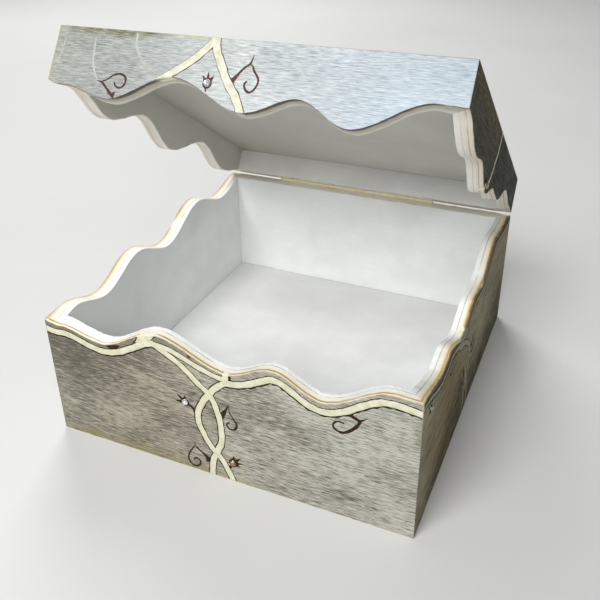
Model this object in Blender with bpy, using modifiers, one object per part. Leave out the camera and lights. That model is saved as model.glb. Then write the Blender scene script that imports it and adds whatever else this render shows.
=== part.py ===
"""Square plywood keepsake box with a hinged lid, parted from its base by one wavy saw cut.

Units are metres, +Z is up, the front faces -Y. The origin is the centre of the underside.
Ten plywood panels, a brass piano hinge with its pin and eight screws, and five glass stones.
The lid group hangs on an empty that lies on the hinge pin and stands open at LID_OPEN.
"""
import math

import bmesh
import bpy
from mathutils import Matrix, Vector

MM = 0.001

# ---------------------------------------------------------------- driving dimensions
WIDTH = 200.0 * MM            # outside, left to right
DEPTH = 206.0 * MM            # outside, front to back
HEIGHT = 99.4 * MM            # outside, lid closed
PLY = 8.0 * MM                # walls and lid top
FLOOR = 6.8 * MM              # bottom panel, let in flush between the walls
KERF = 1.2 * MM               # width of the wavy saw cut that frees the lid
JOINT_GAP = 0.3 * MM          # glue line left between neighbouring solids
LID_OPEN = math.radians(33.6) # how far the lid stands open

# The saw line: its crests and troughs as (distance along the side, height, slope), in mm.
# The front runs from the left corner, both sides run from the front corner.
FRONT_LINE = [(0, 71.8, -.45), (7, 69.9, 0), (13.5, 69.9, -.13), (34.5, 65.4, 0), (67.5, 78.9, 0),
              (105, 66.5, 0), (129.3, 75, 0), (153.5, 65.1, 0), (173, 74.1, .62), (187.5, 79.4, 0),
              (200, 78.9, -.04)]
LEFT_LINE = [(0, 71.8, 0), (14.5, 73, 0), (41, 65.8, 0), (73.5, 76.7, 0), (105, 66.3, 0),
             (143, 80.4, 0), (175, 70.7, 0), (206, 76.6, 0)]
RIGHT_LINE = [(0, 78.9, 0), (37.5, 69.8, 0), (53, 71.8, 0), (80, 62.8, 0), (106, 70.2, 0),
              (125, 68.9, 0), (160, 81, 0), (188, 77.2, 0), (206, 76.6, 0)]
BACK_LINE = [(0, 76.6, 0), (200, 76.6, 0)]
LINE_STEP = 2.0               # mm between points of a wavy edge

# Piano hinge, let into the two back edges
HINGE_X0, HINGE_X1 = -61.0 * MM, 49.0 * MM
HINGE_Y = DEPTH / 2 + 1.0 * MM
HINGE_Z = 76.6 * MM
KNUCKLES = 9
KNUCKLE_R = 1.6 * MM
BORE_R = 1.05 * MM
PIN_R = 0.75 * MM
LEAF_T = 0.75 * MM
LEAF_FRONT = DEPTH / 2 - 5.5 * MM
LEAF_REAR = DEPTH / 2 - 1.0 * MM
LEAF_TAB = DEPTH / 2 - 0.15 * MM
LEAF_RISE = 0.15 * MM         # half the gap between the two leaves
MORTISE_R = 1.9 * MM          # hollow that the knuckles turn in
SCREW_Y = DEPTH / 2 - 3.5 * MM
SCREW_X = [-51.0 * MM, -21.0 * MM, 9.0 * MM, 39.0 * MM]
SCREW_HEAD_R, SCREW_SHANK_R = 1.6 * MM, 0.9 * MM
SCREW_HEAD_H, SCREW_LENGTH = 0.65 * MM, 9.0 * MM

STONE_FACETS = 12

# ---------------------------------------------------------------- scene and collections
for old in list(bpy.data.objects):
    bpy.data.objects.remove(old, do_unlink=True)

box_parts = bpy.data.collections.new("keepsake_box")
cutters = bpy.data.collections.new("cutters")
bpy.context.scene.collection.children.link(box_parts)
bpy.context.scene.collection.children.link(cutters)


def material(name, colour, roughness, metallic=0.0, transmission=0.0, ior=1.5):
    mat = bpy.data.materials.new(name)
    mat.use_nodes = True
    bsdf = mat.node_tree.nodes["Principled BSDF"]
    bsdf.inputs["Base Color"].default_value = (*colour, 1.0)
    bsdf.inputs["Roughness"].default_value = roughness
    bsdf.inputs["Metallic"].default_value = metallic
    bsdf.inputs["Transmission Weight"].default_value = transmission
    bsdf.inputs["IOR"].default_value = ior
    mat.diffuse_color = (*colour, 1.0)
    return mat


STAINED = material("silver_stained_ply", (0.34, 0.33, 0.28), 0.55)
PAINTED = material("white_painted_ply", (0.78, 0.79, 0.78), 0.5)
BRASS = material("brass", (0.72, 0.52, 0.22), 0.32, 1.0)
PIN_BRASS = material("pin_brass", (0.62, 0.45, 0.2), 0.38, 1.0)
SCREW_BRASS = material("screw_brass", (0.8, 0.6, 0.28), 0.3, 1.0)
CLEAR = material("clear_glass_stone", (0.95, 0.96, 0.97), 0.05, 0.0, 0.6)
AMBER = material("amber_glass_stone", (0.85, 0.42, 0.08), 0.05, 0.0, 0.6)


def place(obj, collection, mat=None):
    """Link an object to one collection only and give it its material."""
    for col in list(obj.users_collection):
        col.objects.unlink(obj)
    collection.objects.link(obj)
    if mat is not None:
        obj.data.materials.clear()
        obj.data.materials.append(mat)
    return obj


def hide_cutter(obj):
    obj.hide_render = True
    obj.display_type = "WIRE"
    return place(obj, cutters)


def cube(name, low, high):
    """An axis-aligned box between two corners."""
    low, high = Vector(low), Vector(high)
    bpy.ops.mesh.primitive_cube_add(size=1.0, location=(low + high) / 2)
    obj = bpy.context.active_object
    obj.name = name
    obj.data.transform(Matrix.Diagonal((*(high - low), 1.0)))
    return obj


def cylinder(name, radius, x0, x1, y, z, sides=32):
    """A round bar along X."""
    bpy.ops.mesh.primitive_cylinder_add(vertices=sides, radius=radius, depth=x1 - x0,
                                        location=((x0 + x1) / 2, y, z), rotation=(0, math.pi / 2, 0))
    obj = bpy.context.active_object
    obj.name = name
    return obj


def boolean(obj, cutter, operation="DIFFERENCE"):
    mod = obj.modifiers.new(cutter.name, "BOOLEAN")
    mod.operation = operation
    mod.solver = "EXACT"
    mod.object = cutter
    return mod


def bake(obj):
    """Replace an object's mesh by its evaluated one, so that it can cut or be joined in turn."""
    depsgraph = bpy.context.evaluated_depsgraph_get()
    depsgraph.update()
    mesh = bpy.data.meshes.new_from_object(obj.evaluated_get(depsgraph))
    obj.modifiers.clear()
    obj.data = mesh
    return obj


# ---------------------------------------------------------------- the saw line
def line_height(line, s):
    """Height in mm of a wavy line at distance s, eased from each crest to the next trough."""
    s = min(max(s, line[0][0]), line[-1][0])
    for (s0, z0, m0), (s1, z1, m1) in zip(line, line[1:]):
        if s <= s1:
            h = s1 - s0
            u = (s - s0) / h
            return ((2 * u**3 - 3 * u**2 + 1) * z0 + (u**3 - 2 * u**2 + u) * h * m0
                    + (3 * u**2 - 2 * u**3) * z1 + (u**3 - u**2) * h * m1)
    return line[-1][1]


def rim_points(line, length, offset):
    """The wavy edge from its far end back to its start, shifted up or down by offset."""
    count = max(2, round(length / MM / LINE_STEP)) if len(line) > 2 else 1
    pts = []
    for i in range(count, -1, -1):
        s = length / MM * i / count
        pts.append((s * MM, line_height(line, s) * MM + offset))
    return pts


# ---------------------------------------------------------------- panels
def flat_outline(name, points, thickness, turn, location, mat):
    """A board sawn to an outline: a filled 2D curve, extruded, then turned into a mesh."""
    curve = bpy.data.curves.new(name + "_outline", "CURVE")
    curve.dimensions = "2D"
    curve.fill_mode = "BOTH"
    curve.extrude = thickness / 2
    spline = curve.splines.new("POLY")
    spline.points.add(len(points) - 1)
    for point, (x, y) in zip(spline.points, points):
        point.co = (x, y, 0.0, 1.0)
    spline.use_cyclic_u = True
    flat = bpy.data.objects.new(name + "_outline", curve)
    box_parts.objects.link(flat)
    flat.matrix_world = Matrix.Translation(location) @ turn
    depsgraph = bpy.context.evaluated_depsgraph_get()
    depsgraph.update()
    mesh = bpy.data.meshes.new_from_object(flat.evaluated_get(depsgraph))
    bm = bmesh.new()
    bm.from_mesh(mesh)
    bmesh.ops.remove_doubles(bm, verts=bm.verts, dist=1e-6)
    bmesh.ops.recalc_face_normals(bm, faces=bm.faces)
    bm.to_mesh(mesh)
    bm.free()
    board = bpy.data.objects.new(name, mesh)
    box_parts.objects.link(board)
    board.matrix_world = flat.matrix_world.copy()
    bpy.data.objects.remove(flat)
    mesh.materials.clear()
    mesh.materials.append(mat)
    # the board keeps its place in its mesh, so that it can hang on the lid's pivot
    mesh.transform(board.matrix_world)
    board.matrix_world = Matrix.Identity(4)
    return board


UPRIGHT = Matrix.Rotation(math.pi / 2, 4, "X")                       # outline x to X, y to Z
SIDEWAYS = Matrix.Rotation(math.pi / 2, 4, "Z") @ UPRIGHT            # outline x to Y, y to Z


def wall(name, line, length, lower, side):
    """One wall of the base (lower) or of the lid, square-ended; the mitres are cut afterwards."""
    if lower:
        points = [(0.0, 0.0), (length, 0.0)] + rim_points(line, length, -KERF / 2)
    else:
        points = [(length, HEIGHT), (0.0, HEIGHT)] + rim_points(line, length, KERF / 2)[::-1]
    if side == "front":
        spot, turn = Vector((-WIDTH / 2, -DEPTH / 2 + PLY / 2, 0)), UPRIGHT
    elif side == "back":
        spot, turn = Vector((-WIDTH / 2, DEPTH / 2 - PLY / 2, 0)), UPRIGHT
    elif side == "left":
        spot, turn = Vector((-WIDTH / 2 + PLY / 2, -DEPTH / 2, 0)), SIDEWAYS
    else:
        spot, turn = Vector((WIDTH / 2 - PLY / 2, -DEPTH / 2, 0)), SIDEWAYS
    return flat_outline(name, points, PLY, turn, spot, STAINED)


def half_space(name, point, normal):
    """A big block whose one face lies at point, filling the side that the normal points to."""
    reach = 0.5
    obj = cube(name, (-reach / 2, -reach / 2, 0), (reach / 2, reach / 2, reach))
    obj.data.transform(Matrix.Translation(obj.location))
    obj.location = point
    obj.rotation_mode = "QUATERNION"
    obj.rotation_quaternion = Vector(normal).to_track_quat("Z", "Y")
    return hide_cutter(obj)


MITRE = JOINT_GAP / 2 * math.sqrt(2)
# for each wall: where its two ends meet the mitre planes, and which way the waste lies
MITRES = {
    "front": [((-WIDTH / 2 + MITRE, -DEPTH / 2), (-1, 1)), ((WIDTH / 2 - MITRE, -DEPTH / 2), (1, 1))],
    "back": [((-WIDTH / 2 + MITRE, DEPTH / 2), (-1, -1)), ((WIDTH / 2 - MITRE, DEPTH / 2), (1, -1))],
    "left": [((-WIDTH / 2, -DEPTH / 2 + MITRE), (1, -1)), ((-WIDTH / 2, DEPTH / 2 - MITRE), (1, 1))],
    "right": [((WIDTH / 2, -DEPTH / 2 + MITRE), (-1, -1)), ((WIDTH / 2, DEPTH / 2 - MITRE), (-1, 1))],
}
TOP_MITRES = {
    "front": ((0, -DEPTH / 2, HEIGHT - MITRE), (0, 1, 1)),
    "back": ((0, DEPTH / 2, HEIGHT - MITRE), (0, -1, 1)),
    "left": ((-WIDTH / 2, 0, HEIGHT - MITRE), (1, 0, 1)),
    "right": ((WIDTH / 2, 0, HEIGHT - MITRE), (-1, 0, 1)),
}
end_cutters = {side: [half_space(f"mitre_{side}_{i}", (*xy, 0), (*n, 0)) for i, (xy, n) in enumerate(ends)]
               for side, ends in MITRES.items()}
top_cutters = {side: half_space(f"mitre_top_{side}", spot, n) for side, (spot, n) in TOP_MITRES.items()}

LINES = {"front": (FRONT_LINE, WIDTH), "back": (BACK_LINE, WIDTH), "left": (LEFT_LINE, DEPTH), "right": (RIGHT_LINE, DEPTH)}
base_walls, lid_walls = {}, {}
for side, (line, length) in LINES.items():
    base_walls[side] = wall("base_" + side, line, length, True, side)
    lid_walls[side] = wall("lid_" + side, line, length, False, side)
    for cutter in end_cutters[side]:
        boolean(base_walls[side], cutter)
        boolean(lid_walls[side], cutter)
    boolean(lid_walls[side], top_cutters[side])

# bottom panel, let in between the walls
inner = (WIDTH / 2 - PLY - JOINT_GAP, DEPTH / 2 - PLY - JOINT_GAP)
base_bottom = place(cube("base_bottom", (-inner[0], -inner[1], 0), (inner[0], inner[1], FLOOR)), box_parts, STAINED)

# lid top: a board whose four edges are bevelled to meet the mitred walls
lid_top = cube("lid_top", (-WIDTH / 2, -DEPTH / 2, HEIGHT - PLY), (WIDTH / 2, DEPTH / 2, HEIGHT))
lid_top.data.transform(Matrix.Translation(lid_top.location))
lid_top.location = (0, 0, 0)
for vert in lid_top.data.vertices:
    inset = MITRE if vert.co.z > HEIGHT - PLY / 2 else PLY + MITRE
    vert.co.x -= math.copysign(inset, vert.co.x)
    vert.co.y -= math.copysign(inset, vert.co.y)
place(lid_top, box_parts, STAINED)

# ---------------------------------------------------------------- hinge
leaf_low = HINGE_Z - LEAF_RISE - LEAF_T
leaf_high = HINGE_Z + LEAF_RISE
knuckle_pitch = (HINGE_X1 - HINGE_X0) / KNUCKLES


def hinge_leaf(name, z0, first):
    """A leaf with every second knuckle, starting from knuckle number first."""
    leaf = cube(name, (HINGE_X0, LEAF_FRONT, z0), (HINGE_X1, LEAF_REAR, z0 + LEAF_T))
    leaf.data.transform(Matrix.Translation(leaf.location))
    leaf.location = (0, 0, 0)
    pieces = []
    for i in range(first, KNUCKLES, 2):
        x0 = HINGE_X0 + i * knuckle_pitch + (0.2 * MM if i else 0)
        x1 = HINGE_X0 + (i + 1) * knuckle_pitch - (0.2 * MM if i < KNUCKLES - 1 else 0)
        pieces.append(cube(f"{name}_tab_{i}", (x0, LEAF_REAR - 0.4 * MM, z0), (x1, LEAF_TAB, z0 + LEAF_T)))
        pieces.append(cylinder(f"{name}_knuckle_{i}", KNUCKLE_R, x0, x1, HINGE_Y, HINGE_Z, 24))
    for piece in pieces:
        boolean(leaf, hide_cutter(piece), "UNION")
    bore = hide_cutter(cylinder(name + "_bore", BORE_R, HINGE_X0 - 0.01, HINGE_X1 + 0.01, HINGE_Y, HINGE_Z, 24))
    boolean(leaf, bore)
    for i, x in enumerate(SCREW_X):
        # countersunk hole, wide at the face that the other leaf closes on
        sign = 1 if z0 < HINGE_Z else -1
        r_open, r_deep = SCREW_HEAD_R + JOINT_GAP, SCREW_SHANK_R + JOINT_GAP
        bpy.ops.mesh.primitive_cone_add(vertices=16, radius1=r_deep, radius2=r_open, depth=LEAF_T + 0.2 * MM,
                                        location=(x, SCREW_Y, z0 + LEAF_T / 2), rotation=(0 if sign > 0 else math.pi, 0, 0))
        sink = bpy.context.active_object
        sink.name = f"{name}_sink_{i}"
        boolean(leaf, hide_cutter(sink))
    return place(leaf, box_parts, BRASS)


hinge_leaf_base = hinge_leaf("hinge_leaf_base", leaf_low, 0)
hinge_leaf_lid = hinge_leaf("hinge_leaf_lid", leaf_high, 1)
hinge_pin = place(cylinder("hinge_pin", PIN_R, HINGE_X0 - 0.4 * MM, HINGE_X1 + 0.4 * MM, HINGE_Y, HINGE_Z, 16), box_parts, PIN_BRASS)

# mortises for the leaves, the hollow for the knuckles and the pilot holes, in both back walls
base_mortise = hide_cutter(cube("base_mortise", (HINGE_X0 - JOINT_GAP, LEAF_FRONT - JOINT_GAP, leaf_low - JOINT_GAP),
                                (HINGE_X1 + JOINT_GAP, DEPTH / 2 + 0.01, HINGE_Z + 0.004)))
lid_mortise = hide_cutter(cube("lid_mortise", (HINGE_X0 - JOINT_GAP, LEAF_FRONT - JOINT_GAP, HINGE_Z - 0.004),
                               (HINGE_X1 + JOINT_GAP, DEPTH / 2 + 0.01, leaf_high + LEAF_T + JOINT_GAP)))
knuckle_hollow = hide_cutter(cylinder("knuckle_hollow", MORTISE_R, HINGE_X0 - JOINT_GAP, HINGE_X1 + JOINT_GAP, HINGE_Y, HINGE_Z, 32))
boolean(base_walls["back"], base_mortise)
boolean(base_walls["back"], knuckle_hollow)
boolean(lid_walls["back"], lid_mortise)
boolean(lid_walls["back"], knuckle_hollow)

# ---------------------------------------------------------------- screws
def turned(name, profile, steps, mat):
    """A solid of revolution about Z from a profile that runs from top to bottom."""
    mesh = bpy.data.meshes.new(name)
    mesh.from_pydata([(r, 0, z) for r, z in profile], [(i, i + 1) for i in range(len(profile) - 1)], [])
    obj = bpy.data.objects.new(name, mesh)
    box_parts.objects.link(obj)
    mod = obj.modifiers.new("turn", "SCREW")
    mod.steps = mod.render_steps = steps
    mod.use_merge_vertices = True
    mod.merge_threshold = 1e-5
    bake(obj)
    obj.data.materials.append(mat)
    return obj


screw_profile = [(0.0, 0.0), (SCREW_HEAD_R, 0.0), (SCREW_SHANK_R, -SCREW_HEAD_H),
                 (SCREW_SHANK_R, -SCREW_LENGTH + 1.6 * MM), (0.0, -SCREW_LENGTH)]
screw_top = leaf_low + LEAF_T - 0.05 * MM
screw_mesh = None
base_screws, lid_screws = [], []
for group, sign in (("base", 1), ("lid", -1)):
    for i, x in enumerate(SCREW_X):
        name = f"hinge_screw_{group}_{i + 1}"
        if screw_mesh is None:
            screw = turned(name, screw_profile, 12, SCREW_BRASS)
            screw_mesh = screw.data
        else:
            screw = bpy.data.objects.new(name, screw_mesh)
            box_parts.objects.link(screw)
        z = screw_top if sign > 0 else 2 * HINGE_Z - screw_top
        screw.location = (x, SCREW_Y, z)
        screw.rotation_euler = (0 if sign > 0 else math.pi, 0, 0)
        (base_screws if sign > 0 else lid_screws).append(screw)
        bpy.ops.mesh.primitive_cylinder_add(vertices=12, radius=SCREW_SHANK_R + JOINT_GAP, depth=SCREW_LENGTH + 2 * MM,
                                            location=(x, SCREW_Y, z - sign * (SCREW_LENGTH / 2 - 0.6 * MM)))
        pilot = bpy.context.active_object
        pilot.name = f"pilot_{group}_{i + 1}"
        boolean((base_walls if sign > 0 else lid_walls)["back"], hide_cutter(pilot))

# ---------------------------------------------------------------- glass stones
def stone(name, centre, outward, radius, height, mat):
    """A flat-backed faceted stone: a short cone frustum with a table, its back just off the wood."""
    bm = bmesh.new()
    bmesh.ops.create_cone(bm, cap_ends=True, segments=STONE_FACETS, radius1=radius, radius2=radius * 0.55,
                          depth=height, matrix=Matrix.Translation((0, 0, height / 2 + JOINT_GAP)))
    mesh = bpy.data.meshes.new(name)
    bm.to_mesh(mesh)
    bm.free()
    obj = bpy.data.objects.new(name, mesh)
    box_parts.objects.link(obj)
    mesh.materials.append(mat)
    obj.location = centre
    obj.rotation_mode = "QUATERNION"
    obj.rotation_quaternion = Vector(outward).to_track_quat("Z", "Y")
    return obj


FACE_FRONT, FACE_RIGHT = -DEPTH / 2, WIDTH / 2
stone_base_clear = stone("stone_base_front_clear", (-18.5 * MM, FACE_FRONT, 42.7 * MM), (0, -1, 0), 1.7 * MM, 1.1 * MM, CLEAR)
stone_base_amber = stone("stone_base_front_amber", (6.3 * MM, FACE_FRONT, 12.0 * MM), (0, -1, 0), 1.7 * MM, 1.1 * MM, AMBER)
stone_base_right = stone("stone_base_right_clear", (FACE_RIGHT, -89.9 * MM, 66.9 * MM), (1, 0, 0), 1.3 * MM, 0.9 * MM, CLEAR)
stone_lid_clear = stone("stone_lid_front_clear", (-14.4 * MM, FACE_FRONT, 78.6 * MM), (0, -1, 0), 1.7 * MM, 1.1 * MM, CLEAR)
stone_lid_amber = stone("stone_lid_right_amber", (FACE_RIGHT, -26.0 * MM, 66.6 * MM), (1, 0, 0), 1.7 * MM, 1.1 * MM, AMBER)

# ---------------------------------------------------------------- the lid's pivot
pivot = bpy.data.objects.new("lid_pivot", None)
pivot.empty_display_size = 0.02
box_parts.objects.link(pivot)
pivot.location = (0, HINGE_Y, HINGE_Z)
lid_group = list(lid_walls.values()) + [lid_top, hinge_leaf_lid, stone_lid_clear, stone_lid_amber] + lid_screws

# the lid's boards and leaf are first cut in their closed place, then hung on the pivot
for obj in list(base_walls.values()) + list(lid_walls.values()) + [hinge_leaf_base, hinge_leaf_lid]:
    bake(obj)
for obj in lid_group:
    obj.parent = pivot
    obj.matrix_parent_inverse = Matrix.Translation(pivot.location).inverted()
pivot.rotation_euler = (-LID_OPEN, 0, 0)

for obj in [hinge_pin, hinge_leaf_base, hinge_leaf_lid] + base_screws[:1]:
    obj.data.shade_smooth()
    obj.data.set_sharp_from_angle(angle=math.radians(35))
bpy.context.view_layer.update()
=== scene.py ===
"""Looks of the square plywood keepsake box: stained and burnt wood, painted bands, brass and glass.

Lengths in the panel code are millimetres in each panel's own plane: s runs along the panel, z up it
(or t front to back on the level ones), d is the depth below its outer face. The lid is drawn closed
and then turned open about its hinge.
"""

import math
import random

import bmesh
import bpy
import numpy as np
from mathutils import Matrix, Vector
from mathutils.geometry import delaunay_2d_cdt


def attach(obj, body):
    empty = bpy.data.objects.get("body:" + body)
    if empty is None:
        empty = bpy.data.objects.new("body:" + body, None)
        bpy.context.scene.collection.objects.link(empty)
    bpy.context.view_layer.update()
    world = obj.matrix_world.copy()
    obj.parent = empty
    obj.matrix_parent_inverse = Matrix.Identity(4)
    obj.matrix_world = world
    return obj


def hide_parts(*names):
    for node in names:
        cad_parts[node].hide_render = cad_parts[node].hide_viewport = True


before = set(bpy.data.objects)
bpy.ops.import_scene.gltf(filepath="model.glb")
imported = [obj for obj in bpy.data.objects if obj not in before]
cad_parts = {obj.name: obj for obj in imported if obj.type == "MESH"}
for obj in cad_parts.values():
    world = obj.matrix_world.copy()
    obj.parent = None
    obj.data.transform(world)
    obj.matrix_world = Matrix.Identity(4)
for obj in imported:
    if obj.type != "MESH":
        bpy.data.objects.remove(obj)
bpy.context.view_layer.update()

# ---------------------------------------------------------------- the box's dimensions, in mm
W, D, H, T = 200.0, 206.0, 99.4, 8.0
HALF_KERF = 0.6
HINGE_Y, HINGE_Z = 104.0, 76.6
OPEN = math.radians(33.6)
HINGE_X = (-61.0, 49.0)

FRONT = [(0, 71.8, -.45), (7, 69.9, 0), (13.5, 69.9, -.13), (34.5, 65.4, 0), (67.5, 78.9, 0),
         (105, 66.5, 0), (129.3, 75, 0), (153.5, 65.1, 0), (173, 74.1, .62), (187.5, 79.4, 0),
         (200, 78.9, -.04)]
LEFT = [(0, 71.8, 0), (14.5, 73, 0), (41, 65.8, 0), (73.5, 76.7, 0), (105, 66.3, 0), (143, 80.4, 0),
        (175, 70.7, 0), (206, 76.6, 0)]
RIGHT = [(0, 78.9, 0), (37.5, 69.8, 0), (53, 71.8, 0), (80, 62.8, 0), (106, 70.2, 0), (125, 68.9, 0),
         (160, 81, 0), (188, 77.2, 0), (206, 76.6, 0)]
BACK = [(0, 76.6, 0), (200, 76.6, 0)]


def line(points, s):
    """Height of a wavy saw line at the distances s, eased from each crest to the next trough."""
    s = np.clip(np.asarray(s, float), points[0][0], points[-1][0])
    xs = np.array([p[0] for p in points], float)
    i = np.clip(np.searchsorted(xs, s, side="right") - 1, 0, len(points) - 2)
    z = np.array([p[1] for p in points], float)
    m = np.array([p[2] for p in points], float)
    h = xs[i + 1] - xs[i]
    u = (s - xs[i]) / h
    return ((2 * u**3 - 3 * u**2 + 1) * z[i] + (u**3 - 2 * u**2 + u) * h * m[i]
            + (3 * u**2 - 2 * u**3) * z[i + 1] + (u**3 - u**2) * h * m[i + 1])


def wobble(seed, x, span):
    """A smooth irregular wave of about plus or minus one, the same on every run."""
    rnd = random.Random(seed)
    x = np.asarray(x, float)
    total = np.zeros_like(x)
    for _ in range(6):
        total = total + np.sin(x * 2 * math.pi / (span * rnd.uniform(0.3, 1.7)) + rnd.uniform(0, 2 * math.pi))
    return total / 2.6


def arc(r, d):
    """How far a rounded edge of radius r has fallen back at depth d."""
    q = np.clip(r - np.asarray(d, float), 0, r)
    return r - np.sqrt(np.maximum(r * r - q * q, 0))


# ---------------------------------------------------------------- where a panel's points lie
def upright(side):
    def place(s, z, d):
        if side == "front":
            return np.stack([s - 100, -103 + d, z], -1)
        if side == "back":
            return np.stack([s - 100, 103 - d, z], -1)
        if side == "left":
            return np.stack([-100 + d, s - 103, z], -1)
        return np.stack([100 - d, s - 103, z], -1)
    return place


def level(top):
    def place(s, t, d):
        return np.stack([s - 100, t - 103, top - d], -1)
    return place


def opened(p):
    """Turns points of the closed lid to where the open lid holds them."""
    p = np.array(p, float)
    y, z = p[..., 1] - HINGE_Y, p[..., 2] - HINGE_Z
    c, s = math.cos(OPEN), math.sin(OPEN)
    p[..., 1], p[..., 2] = HINGE_Y + c * y + s * z, HINGE_Z - s * y + c * z
    return p


# ---------------------------------------------------------------- materials
class Mat:
    """A Principled material and short ways to feed it."""

    def __init__(self, name):
        self.mat = bpy.data.materials.new(name)
        self.mat.use_nodes = True
        self.tree = self.mat.node_tree
        self.tree.nodes.clear()
        self.out = self.tree.nodes.new("ShaderNodeOutputMaterial")
        self.bsdf = self.tree.nodes.new("ShaderNodeBsdfPrincipled")
        self.tree.links.new(self.bsdf.outputs[0], self.out.inputs[0])

    def feed(self, socket, value):
        if isinstance(value, bpy.types.NodeSocket):
            self.tree.links.new(value, socket)
        elif isinstance(value, (tuple, list)) and len(value) == 3 and socket.type == "RGBA":
            socket.default_value = (*value, 1.0)
        else:
            socket.default_value = value

    def set(self, **values):
        for name, value in values.items():
            self.feed(self.bsdf.inputs[name.replace("_", " ")], value)
        return self

    def attribute(self, name, out="Vector"):
        node = self.tree.nodes.new("ShaderNodeAttribute")
        node.attribute_name = name
        return node.outputs[out]

    def object_coords(self):
        return self.tree.nodes.new("ShaderNodeTexCoord").outputs["Object"]

    def parts(self, vector):
        node = self.tree.nodes.new("ShaderNodeSeparateXYZ")
        self.feed(node.inputs[0], vector)
        return node.outputs

    def mapped(self, vector, scale=(1, 1, 1), shift=(0, 0, 0), turn=0.0):
        node = self.tree.nodes.new("ShaderNodeMapping")
        node.vector_type = "POINT"
        self.feed(node.inputs["Vector"], vector)
        if turn:
            first = self.tree.nodes.new("ShaderNodeMapping")
            first.inputs["Rotation"].default_value = (0, 0, turn)
            self.feed(first.inputs["Vector"], vector)
            self.feed(node.inputs["Vector"], first.outputs[0])
        node.inputs["Scale"].default_value = scale
        node.inputs["Location"].default_value = shift
        return node.outputs[0]

    def noise(self, vector, detail=3.0, rough=0.55, scale=1.0, warp=0.0):
        node = self.tree.nodes.new("ShaderNodeTexNoise")
        self.feed(node.inputs["Vector"], vector)
        node.inputs["Scale"].default_value = scale
        node.inputs["Detail"].default_value = detail
        node.inputs["Roughness"].default_value = rough
        node.inputs["Distortion"].default_value = warp
        return node.outputs[0]

    def math(self, op, a, b=0.0, c=None, clamp=False):
        node = self.tree.nodes.new("ShaderNodeMath")
        node.operation = op
        node.use_clamp = clamp
        self.feed(node.inputs[0], a)
        self.feed(node.inputs[1], b)
        if c is not None:
            self.feed(node.inputs[2], c)
        return node.outputs[0]

    def span(self, value, low, high, to_low=0.0, to_high=1.0, soft=True):
        node = self.tree.nodes.new("ShaderNodeMapRange")
        node.interpolation_type = "SMOOTHSTEP" if soft else "LINEAR"
        self.feed(node.inputs[0], value)
        for i, x in enumerate((low, high, to_low, to_high)):
            self.feed(node.inputs[i + 1], x)
        return node.outputs[0]

    def mix(self, factor, a, b, kind="MIX"):
        node = self.tree.nodes.new("ShaderNodeMix")
        node.data_type = "RGBA"
        node.blend_type = kind
        self.feed(node.inputs[0], factor)
        self.feed(node.inputs[6], a)
        self.feed(node.inputs[7], b)
        return node.outputs[2]

    def ramp(self, factor, stops, kind="LINEAR"):
        node = self.tree.nodes.new("ShaderNodeValToRGB")
        node.color_ramp.interpolation = kind
        elements = node.color_ramp.elements
        while len(elements) < len(stops):
            elements.new(0.5)
        for element, (where, colour) in zip(elements, stops):
            element.position = where
        for element, (where, colour) in zip(elements, stops):
            element.color = (*colour, 1.0)
        self.feed(node.inputs[0], factor)
        return node.outputs[0]

    def bump(self, height, distance, strength=1.0, after=None):
        node = self.tree.nodes.new("ShaderNodeBump")
        node.inputs["Strength"].default_value = strength
        node.inputs["Distance"].default_value = distance
        self.feed(node.inputs["Height"], height)
        if after is not None:
            self.feed(node.inputs["Normal"], after)
        self.feed(self.bsdf.inputs["Normal"], node.outputs[0])
        return node.outputs[0]


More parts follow.
